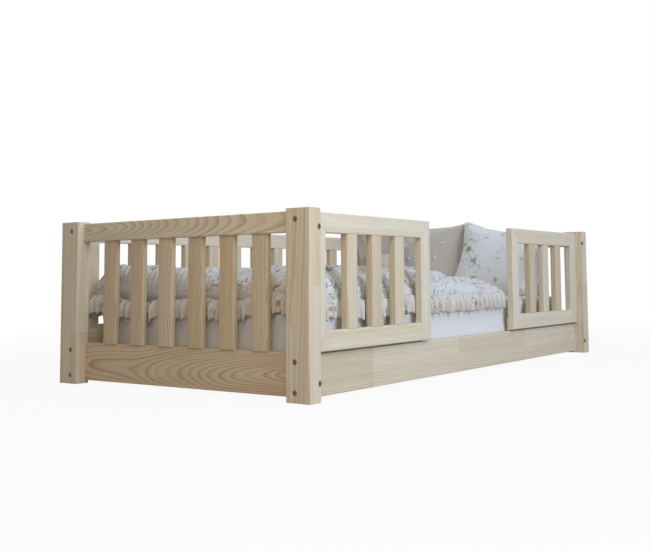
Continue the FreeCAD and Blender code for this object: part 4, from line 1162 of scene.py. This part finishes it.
# %% Frill
FRILL_DROP, FOOT_DROP = 0.050, 0.054
FRILL_THICK = 0.0009
FRILL_ROWS = 9
FRILL_PLEAT = 0.031      # length of one pleat along the hem
FRILL_STEPS_PER_PLEAT = 18
FRILL_SWING = 0.0078
FRILL_ROOM = 0.0105      # clear depth between the quilt and a barrier
WAY_IN_ROOM = 0.0170
FOOT_ROOM = 0.0225
WAY_IN_HALF = 0.262      # half the way in, where nothing presses on the frill


def frill_column(mesh, base, along, out, top, room, phase, stray, depth, lean, drop_by):
    """One column of points from the seam down; out is the way it faces."""
    column = []
    for j in range(FRILL_ROWS + 1):
        down = j / FRILL_ROWS
        header = 0.35 + 0.65 * eased(min(1.0, down * 1.4))
        bend = phase + 0.5 * math.sin(3 * down + stray * 4)
        swing = FRILL_SWING * (room / FRILL_ROOM) ** 0.7 * header * depth
        swing *= math.sin(bend) + 0.36 * math.sin(3 * bend + 1.0)
        away = lean * eased(min(1.0, down * 2.6)) + swing + FRILL_SWING * 0.6
        slip = along * (0.0050 * math.cos(bend) * header * down)
        drop = drop_by * down * (1 + 0.10 * stray) + 0.0035 * down * math.sin(bend + 0.8)
        point = base + out * min(max(away, 0.0), room) + slip + Vector((0, 0, top - drop))
        column.append(mesh.verts.new(point))
    return column


def frill_strip(name, start, end, out, top, room, seed, lean=0.0035, drop_by=FRILL_DROP):
    """One straight run of frill from start to end; room is its clear depth at a point."""
    run = end - start
    pleats = int(run.length / FRILL_PLEAT)
    steps = pleats * FRILL_STEPS_PER_PLEAT
    mesh = bmesh.new()
    uv = mesh.loops.layers.uv.new("cloth")
    columns = []
    travelled, before = 0.0, None
    for i in range(steps + 1):
        share = i / steps
        base = start + run * share
        stray = wave(share * run.length * 26 + seed, seed, 0)
        phase = share * pleats * 2 * math.pi + 3.2 * stray
        depth = 0.75 + 0.5 * wave(share * run.length * 14, seed + 4, 1)
        column = frill_column(mesh, base, run.normalized(), out, top(base), room(base), phase, stray,
                              depth, lean, drop_by)
        middle = column[FRILL_ROWS // 2].co.copy()
        if before is not None:
            travelled += (middle - before).length
        before = middle
        columns.append((column, travelled))
    for (left, left_at), (right, right_at) in zip(columns, columns[1:]):
        for j in range(FRILL_ROWS):
            face = mesh.faces.new((left[j], left[j + 1], right[j + 1], right[j]))
            face.smooth = True
            high, low = j / FRILL_ROWS * drop_by, (j + 1) / FRILL_ROWS * drop_by
            places = ((left_at, high), (left_at, low), (right_at, low), (right_at, high))
            for loop, place in zip(face.loops, places):
                loop[uv].uv = place
    piece = placed(name, mesh_of(name, mesh, FRILL_CLOTH))
    solid = piece.modifiers.new("cloth", "SOLIDIFY")
    solid.thickness = FRILL_THICK
    solid.offset = 0.0
    apply_modifiers(piece)
    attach(piece, "root")
    return piece


def apply_modifiers(piece):
    """Keep what the modifiers made as the piece's own mesh."""
    final = baked(piece)
    piece.modifiers.clear()
    piece.data = final


def side_hem(point):
    """The seam waves a little with the quilt."""
    return 0.0085 * wave(point.x * 8, point.y * 8, 7)


def foot_hem(point):
    """At the foot the quilt is tucked, so its seam rises and falls more."""
    return 0.018 * wave(0.5, point.y * 7, 7) + 0.007 * wave(0.5, point.y * 21, 3)


def front_room(point):
    """The frill has more room in the way in than behind a barrier."""
    return WAY_IN_ROOM if abs(point.x) < WAY_IN_HALF else FRILL_ROOM


quilt_low, quilt_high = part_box("duvet")
quilt_high.x += QUILT_SPREAD
side_seam, foot_seam = quilt_low.z + 0.014, quilt_low.z + 0.022
front_y, back_y, foot_x = quilt_low.y - 0.001, quilt_high.y + 0.001, quilt_low.x - 0.002
front = frill_strip("frill_front", Vector((quilt_low.x, front_y, side_seam)),
                    Vector((quilt_high.x, front_y, side_seam)), Vector((0, -1, 0)), side_hem,
                    front_room, 1.0)
back = frill_strip("frill_back", Vector((quilt_high.x, back_y, side_seam)),
                   Vector((quilt_low.x, back_y, side_seam)), Vector((0, 1, 0)), side_hem,
                   lambda point: FRILL_ROOM, 2.0)
frill_strip("frill_foot", Vector((foot_x, quilt_high.y - 0.004, foot_seam)),
            Vector((foot_x, quilt_low.y + 0.004, foot_seam)), Vector((-1, 0, 0)), foot_hem,
            lambda point: FOOT_ROOM, 3.0, lean=0.0125, drop_by=FOOT_DROP)
for strip in (front, back):
    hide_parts("duvet_ruffle")

# %% [markdown]
# A cushion is two panels sewn together and filled.  It starts as a crowned form whose
# sides pull in between the corners, is remeshed evenly, and is then blown up a little as
# cloth, which draws real puckers.  Every point may move only so far, and the lower edge
# settles flat on the mattress.

# %% Cushions
CUSHION_SECTIONS = ((-0.50, 0.30), (-0.46, 0.52), (-0.38, 0.70), (-0.26, 0.85), (-0.12, 0.955),
                    (0.0, 1.0), (0.12, 0.955), (0.26, 0.85), (0.38, 0.70), (0.46, 0.52), (0.50, 0.30))
CUSHION_FLATS = 26      # points along one side of a section
SIDE_PULL = 0.05
SINK = 0.010            # how deep a cushion's lower edge presses before it is flattened
SLUMP_FROM = 0.03       # from a tipped cushion's lowest corner to where its edge slumps
VOXEL = 0.0055
PRESSURE = 4.0
INFLATE_FRAMES = 20
FABRIC = {"quality": 6, "mass": 0.25, "use_pressure": True, "uniform_pressure_force": PRESSURE,
          "shrink_min": -0.05, "tension_stiffness": 12, "compression_stiffness": 8,
          "bending_stiffness": 0.4}


def cushion_form(name, wide, tall, thick, material, side_pull):
    """A crowned cushion that faces -X, with corners that stand out from its drawn-in sides."""
    loops = []
    for depth, share in CUSHION_SECTIONS:
        u, v = share * wide / 2, share * tall / 2
        pull = side_pull * min(wide, tall) * share
        corners = [(-u, -v), (u, -v), (u, v), (-u, v)]
        loop = []
        for i, (y, z) in enumerate(corners):
            ny, nz = corners[(i + 1) % 4]
            inward = Vector((0, -(nz - z), ny - y)).normalized()
            for step in range(CUSHION_FLATS):
                part = step / CUSHION_FLATS
                point = Vector((depth * thick, y + (ny - y) * part, z + (nz - z) * part))
                loop.append(point + inward * (pull * math.sin(math.pi * part)))
        loops.append(loop)
    return stacked(name, loops, material)


def blown_up(piece, cap):
    """Remesh, inflate as cloth and cap how far a point may move."""
    remesh = piece.modifiers.new("even", "REMESH")
    remesh.mode = "VOXEL"
    remesh.voxel_size = VOXEL
    apply_modifiers(piece)
    before = [v.co.copy() for v in piece.data.vertices]
    fabric = piece.modifiers.new("fabric", "CLOTH")
    for name, value in FABRIC.items():
        setattr(fabric.settings, name, value)
    fabric.settings.effector_weights.gravity = 0.0
    fabric.point_cache.frame_end = INFLATE_FRAMES
    for step in range(1, INFLATE_FRAMES + 1):
        bpy.context.scene.frame_set(step)
    apply_modifiers(piece)
    for vert, old in zip(piece.data.vertices, before):
        move = vert.co - old
        if move.length > cap:
            vert.co = old + move * (cap / move.length)
    bpy.context.scene.frame_set(1)


def cushion_turn(pose):
    """The matrix that tips a cushion sideways, leans it back and turns it."""
    lean, turn, tip = (math.radians(angle) for angle in pose)
    return Matrix.Rotation(turn, 4, "Z") @ Matrix.Rotation(lean, 4, "Y") @ Matrix.Rotation(tip, 4, "X")


def seat(piece, node, pose, place, sink):
    """Turn a finished cushion, let its lower edge slump level and put it against the side named by place."""
    low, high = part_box(node)
    piece.data.transform(cushion_turn(pose))
    points = [v.co for v in piece.data.vertices]
    floor, ceiling = min(p.z for p in points), max(p.z for p in points)
    tip = math.radians(pose[2])
    along = Matrix.Rotation(math.radians(pose[1]), 3, "Z") @ Vector((0, 1, 0))
    along *= 1 if tip > 0 else -1
    start = min(p.dot(along) for p in points)
    for vert in piece.data.vertices:
        high_up = (vert.co.z - floor) / (ceiling - floor)
        beyond = max(0.0, vert.co.dot(along) - start - SLUMP_FROM)
        vert.co.z -= beyond * math.tan(abs(tip)) * (1 - high_up) ** 1.5
    got_low, got_high = box_of([v.co for v in piece.data.vertices])
    shift = (low + high) / 2 - (got_low + got_high) / 2
    for axis, gap in place:
        shift[axis] = high[axis] - gap - got_high[axis]
    shift.z = low.z - sink - got_low.z
    piece.data.transform(Matrix.Translation(shift))


def settle(piece):
    """Flatten what would sink into the mattress."""
    for vert in piece.data.vertices:
        floor = bed_height(vert.co.x, vert.co.y) + RESTING_GAP
        if vert.co.z < floor:
            vert.co.z = floor


def make_cushion(name, node, sizes, pose, place, material, cap=0.012, side_pull=SIDE_PULL,
                 sink=SINK):
    """Shape, fill, seat and finish one cushion; place is (axis, gap) from its solid's high side."""
    piece = cushion_form(name, *sizes, material, side_pull)
    blown_up(piece, cap)
    seat(piece, node, pose, place, sink)
    settle(piece)
    finer = piece.modifiers.new("fine", "SUBSURF")
    finer.levels = finer.render_levels = 1
    apply_modifiers(piece)
    smooth(piece.data)
    one_material(piece.data, material)
    hand_over(piece, [node])
    print(name, len(piece.data.vertices), "points")
    return piece


PILLOW_POSE = (16.0, 0.0, 9.0)     # lean back, turn, tip sideways, in degrees
DOTTED_POSE = (8.0, 0.0, -1.5)
CORNER_POSE = (12.0, 90.0, 4.0)
PIPED_POSE = (24.0, 90.0, -6.0)
DOTTED_SIZE = (0.392, 0.304, 0.074)
pillow = make_cushion("big_pillow", "pillow", (0.392, 0.276, 0.106), PILLOW_POSE, ((0, 0.020),),
                      PILLOW_CLOTH, side_pull=0.04, sink=0.024)
dotted = make_cushion("taupe_cushion", "dotted_cushion", DOTTED_SIZE, DOTTED_POSE,
                      ((0, -0.002), (1, 0.0)), TAUPE_CLOTH, cap=0.010, side_pull=0.022)
corner = make_cushion("corner_pad", "corner_cushion", (0.240, 0.285, 0.072), CORNER_POSE,
                      ((1, 0.016),), CORNER_CLOTH, cap=0.009)
piped = make_cushion("small_piped_cushion", "piped_cushion", (0.215, 0.196, 0.068), PIPED_POSE,
                     ((0, 0.0),), BEIGE_CLOTH, cap=0.009)

# %% [markdown]
# Piping closes the cushions' seams.  It follows the widest line of the finished form, which
# is found by looking inwards from outside along the cushion's own middle plane.

# %% Piping
SEAM_POINTS = 220
SEAM_INSET = 0.0004
TUBE_RESOLUTION = 2


def cushion_axes(piece, pose):
    """A cushion's surface, its middle and the ways across, up and out of its front."""
    low, high = box_of([v.co for v in piece.data.vertices])
    turn = cushion_turn(pose).to_3x3()
    across, up, out = (turn @ Vector(way) for way in ((0, 1, 0), (0, 0, 1), (-1, 0, 0)))
    return surface_of(piece), (low + high) / 2, across, up, out


def seam_line(piece, pose):
    """Points of the seam, walked once round the cushion and evened out."""
    surface, centre, across, up, _ = cushion_axes(piece, pose)
    line = []
    for i in range(SEAM_POINTS):
        angle = 2 * math.pi * i / SEAM_POINTS
        way = across * math.cos(angle) + up * math.sin(angle)
        hit = surface.ray_cast(centre + way * 0.6, -way)[0]
        if hit:
            line.append(hit - way * SEAM_INSET)
    for _ in range(2):
        line = [(line[i - 1] + line[i] * 2 + line[(i + 1) % len(line)]) / 4 for i in range(len(line))]
    return line


def tube(name, line, radius, material):
    """A closed round tube as a mesh."""
    curve = bpy.data.curves.new(name + "_path", "CURVE")
    curve.dimensions = "3D"
    spline = curve.splines.new("POLY")
    spline.points.add(len(line) - 1)
    for point, place in zip(spline.points, line):
        point.co = (*place, 1.0)
    spline.use_cyclic_u = True
    curve.bevel_depth = radius
    curve.bevel_resolution = TUBE_RESOLUTION
    helper = placed(name + "_path", curve)
    data = baked(helper)
    bpy.data.objects.remove(helper)
    data.name = name
    one_material(data, material)
    smooth(data)
    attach(placed(name, data), "root")


for name, cushion, pose, radius, fabric in (
        ("piping", piped, PIPED_POSE, 0.0028, PIPING_CLOTH),
        ("pillow_edge", pillow, PILLOW_POSE, 0.0034, FLANGE_CLOTH),
        ("taupe_edge", dotted, DOTTED_POSE, 0.0022, TAUPE_CLOTH),
        ("corner_edge", corner, CORNER_POSE, 0.0020, CORNER_CLOTH)):
    tube(name, seam_line(cushion, pose), radius, fabric)
    print(name, "follows", cushion.name)

# %% [markdown]
# Small woollen balls dot the taupe cushion in staggered rows.  Each is a rough sphere of a
# few dozen faces, copied by the same tree as the screws, with sizes that differ a little.

# %% Woollen dots
DOT_RADIUS = 0.0055
DOT_PITCH = 0.062
DOT_STRAY = 0.004
DOT_FIELD = 0.44        # half the field of dots, as a share of the cushion


def woollen_ball():
    """A rough little sphere."""
    mesh = bmesh.new()
    bmesh.ops.create_icosphere(mesh, subdivisions=2, radius=DOT_RADIUS)
    for vert in mesh.verts:
        vert.co *= 1 + 0.22 * noise.noise(vert.co * 420)
    return hidden_model("woollen_ball_model", mesh_of("woollen_ball", mesh))


def dot_places(piece, pose, wide, tall):
    """Where the balls sit on the front of a cushion."""
    surface, centre, across, up, out = cushion_axes(piece, pose)
    places = []
    rows = int(tall / DOT_PITCH)
    columns = int(wide / DOT_PITCH)
    for row in range(-rows // 2, rows // 2 + 1):
        for column in range(-columns // 2, columns // 2 + 1):
            u = (column + 0.5 * (row % 2)) * DOT_PITCH + random.uniform(-DOT_STRAY, DOT_STRAY)
            v = row * DOT_PITCH + random.uniform(-DOT_STRAY, DOT_STRAY)
            if abs(u) > wide * DOT_FIELD or abs(v) > tall * DOT_FIELD:
                continue
            hit = surface.ray_cast(centre + across * u + up * v + out * 0.4, -out)[0]
            if hit:
                places.append(hit + out * DOT_RADIUS * 0.45)
    return places


ball_model = woollen_ball()
dot_spots = dot_places(dotted, DOTTED_POSE, *DOTTED_SIZE[:2])
dots = grown_mesh("woollen_balls", COPIES, {
    "Piece": ball_model, "Facing": Vector((-1, 0, 0)), "Turn": 6.28, "Spread": 0.15, "Seed": 5,
    "Finish": WOOL}, dot_spots)
one_material(dots.data, WOOL)
smooth(dots.data)
hand_over(dots)
for model in (head_model, ball_model):
    bpy.data.objects.remove(model)
print(len(dot_spots), "woollen dots")

# %% [markdown]
# The stage is a pale floor and a white world.  What the camera sees of both is white by
# Light Path's Is Camera Ray, so that the lamps can stay at a plain level.

# %% Floor, light and camera
WORLD_LEVEL = 0.30      # strength of the world as light on the object
WORLD_TINT = (1.0, 0.96, 0.90, 1.0)
WHITE = (1.0, 1.0, 1.0, 1.0)
FLOOR_TINT = (0.50, 0.47, 0.43, 1.0)
FLOOR_WHITE = 0.93      # share of plain white in the floor near the bed, the rest is its shadow
FLOOR_REACH = 14.0
FLOOR_Z = -0.0005
FADE_FROM, FADE_TO = 1.2, 3.4       # where the floor turns from shadow to plain white


def seen_directly(tree):
    """One for rays that show the stage to the camera, straight, by a mirror or through glass."""
    rays = add(tree, "ShaderNodeLightPath").outputs
    seen = calc(tree, "MAXIMUM", rays["Is Camera Ray"], rays["Is Glossy Ray"])
    return calc(tree, "MAXIMUM", seen, rays["Is Transmission Ray"])


def make_floor():
    """A wide floor that keeps the bed's shadow."""
    mesh = bpy.data.meshes.new("floor")
    corners = [(x * FLOOR_REACH, y * FLOOR_REACH, FLOOR_Z) for x, y in ((-1, -1), (1, -1), (1, 1), (-1, 1))]
    mesh.from_pydata(corners, [], [(0, 1, 2, 3)])
    material, tree, shader = new_material("floor_paper", 0.9)
    shader.inputs["Base Color"].default_value = FLOOR_TINT
    glow = add(tree, "ShaderNodeEmission", {"Color": WHITE, "Strength": 1.0})
    place = add(tree, "ShaderNodeTexCoord").outputs["Object"]
    away = add(tree, "ShaderNodeVectorMath", {0: place}, operation="LENGTH").outputs["Value"]
    white = times(tree, seen_directly(tree), fade(tree, away, FADE_FROM, FADE_TO, FLOOR_WHITE, 1.0))
    mixed = add(tree, "ShaderNodeMixShader", {0: white, 1: shader.outputs[0], 2: glow.outputs[0]})
    tree.links.new(mixed.outputs[0], tree.nodes["Material Output"].inputs["Surface"])
    mesh.materials.append(material)
    placed("floor", mesh)


def make_world():
    """A white world that lights the object at a lower level."""
    world = bpy.data.worlds.new("studio")
    bpy.context.scene.world = world
    world.use_nodes = True
    tree = world.node_tree
    tree.nodes.clear()
    seen = seen_directly(tree)
    level = calc(tree, "ADD", times(tree, seen, 1.0 - WORLD_LEVEL), WORLD_LEVEL)
    tint = blend(tree, seen, WORLD_TINT, WHITE)
    sky = add(tree, "ShaderNodeBackground", {"Color": tint, "Strength": level})
    add(tree, "ShaderNodeOutputWorld", {0: sky.outputs[0]})


def lamp(name, place, target, width, watts, colour):
    """A square lamp that looks at a target."""
    light = bpy.data.lights.new(name, "AREA")
    light.shape = "SQUARE"
    light.size = width
    light.energy = watts
    light.color = colour
    thing = placed(name, light)
    thing.location = place
    thing.rotation_euler = (Vector(target) - Vector(place)).to_track_quat("-Z", "Y").to_euler()


make_floor()
make_world()
lamp("window", (-0.8, -3.35, 2.2), (0, 0, 0.25), 2.4, 104.0, (0.68, 0.80, 1.0))
lamp("room", (-1.75, -1.05, 1.2), (-0.8, -0.3, 0.35), 0.7, 7.2, (1.0, 0.86, 0.64))
lamp("rear", (1.8, 3.3, 2.2), (0, 0, 0.25), 2.4, 42.0, (1.0, 0.98, 0.95))

# The camera is worked out from the straight edges of the bed in the picture, 650 by 551 points.
PICTURE_WIDTH, PICTURE_HEIGHT = 650.0, 551.0
FOCAL_POINTS = 923.55            # focal length in picture points
AXIS_X, AXIS_Y = 373.55, 202.44  # where the lens axis meets the picture
EYE = Vector((-2.5655, -1.8236, 0.2941))
YAW, PITCH, ROLL = math.radians(34.60), math.radians(4.64), math.radians(-0.57)

lens = bpy.data.cameras.new("camera")
lens.sensor_width = 36.0
lens.lens = FOCAL_POINTS / PICTURE_WIDTH * lens.sensor_width
lens.shift_x = (PICTURE_WIDTH / 2 - AXIS_X) / PICTURE_WIDTH
lens.shift_y = (AXIS_Y - PICTURE_HEIGHT / 2) / PICTURE_WIDTH
lens.clip_start = 0.05
ahead = Vector((math.cos(YAW) * math.cos(PITCH), math.sin(YAW) * math.cos(PITCH), math.sin(PITCH)))
right = ahead.cross(Vector((0, 0, 1))).normalized()
up = right.cross(ahead)
rolled_right = right * math.cos(ROLL) + up * math.sin(ROLL)
rolled_up = up * math.cos(ROLL) - right * math.sin(ROLL)
axes = Matrix((rolled_right, rolled_up, -ahead)).transposed()
camera = placed("camera", lens)
camera.matrix_world = Matrix.Translation(EYE) @ axes.to_4x4()
bpy.context.scene.camera = camera
bpy.context.scene.view_settings.view_transform = "Standard"
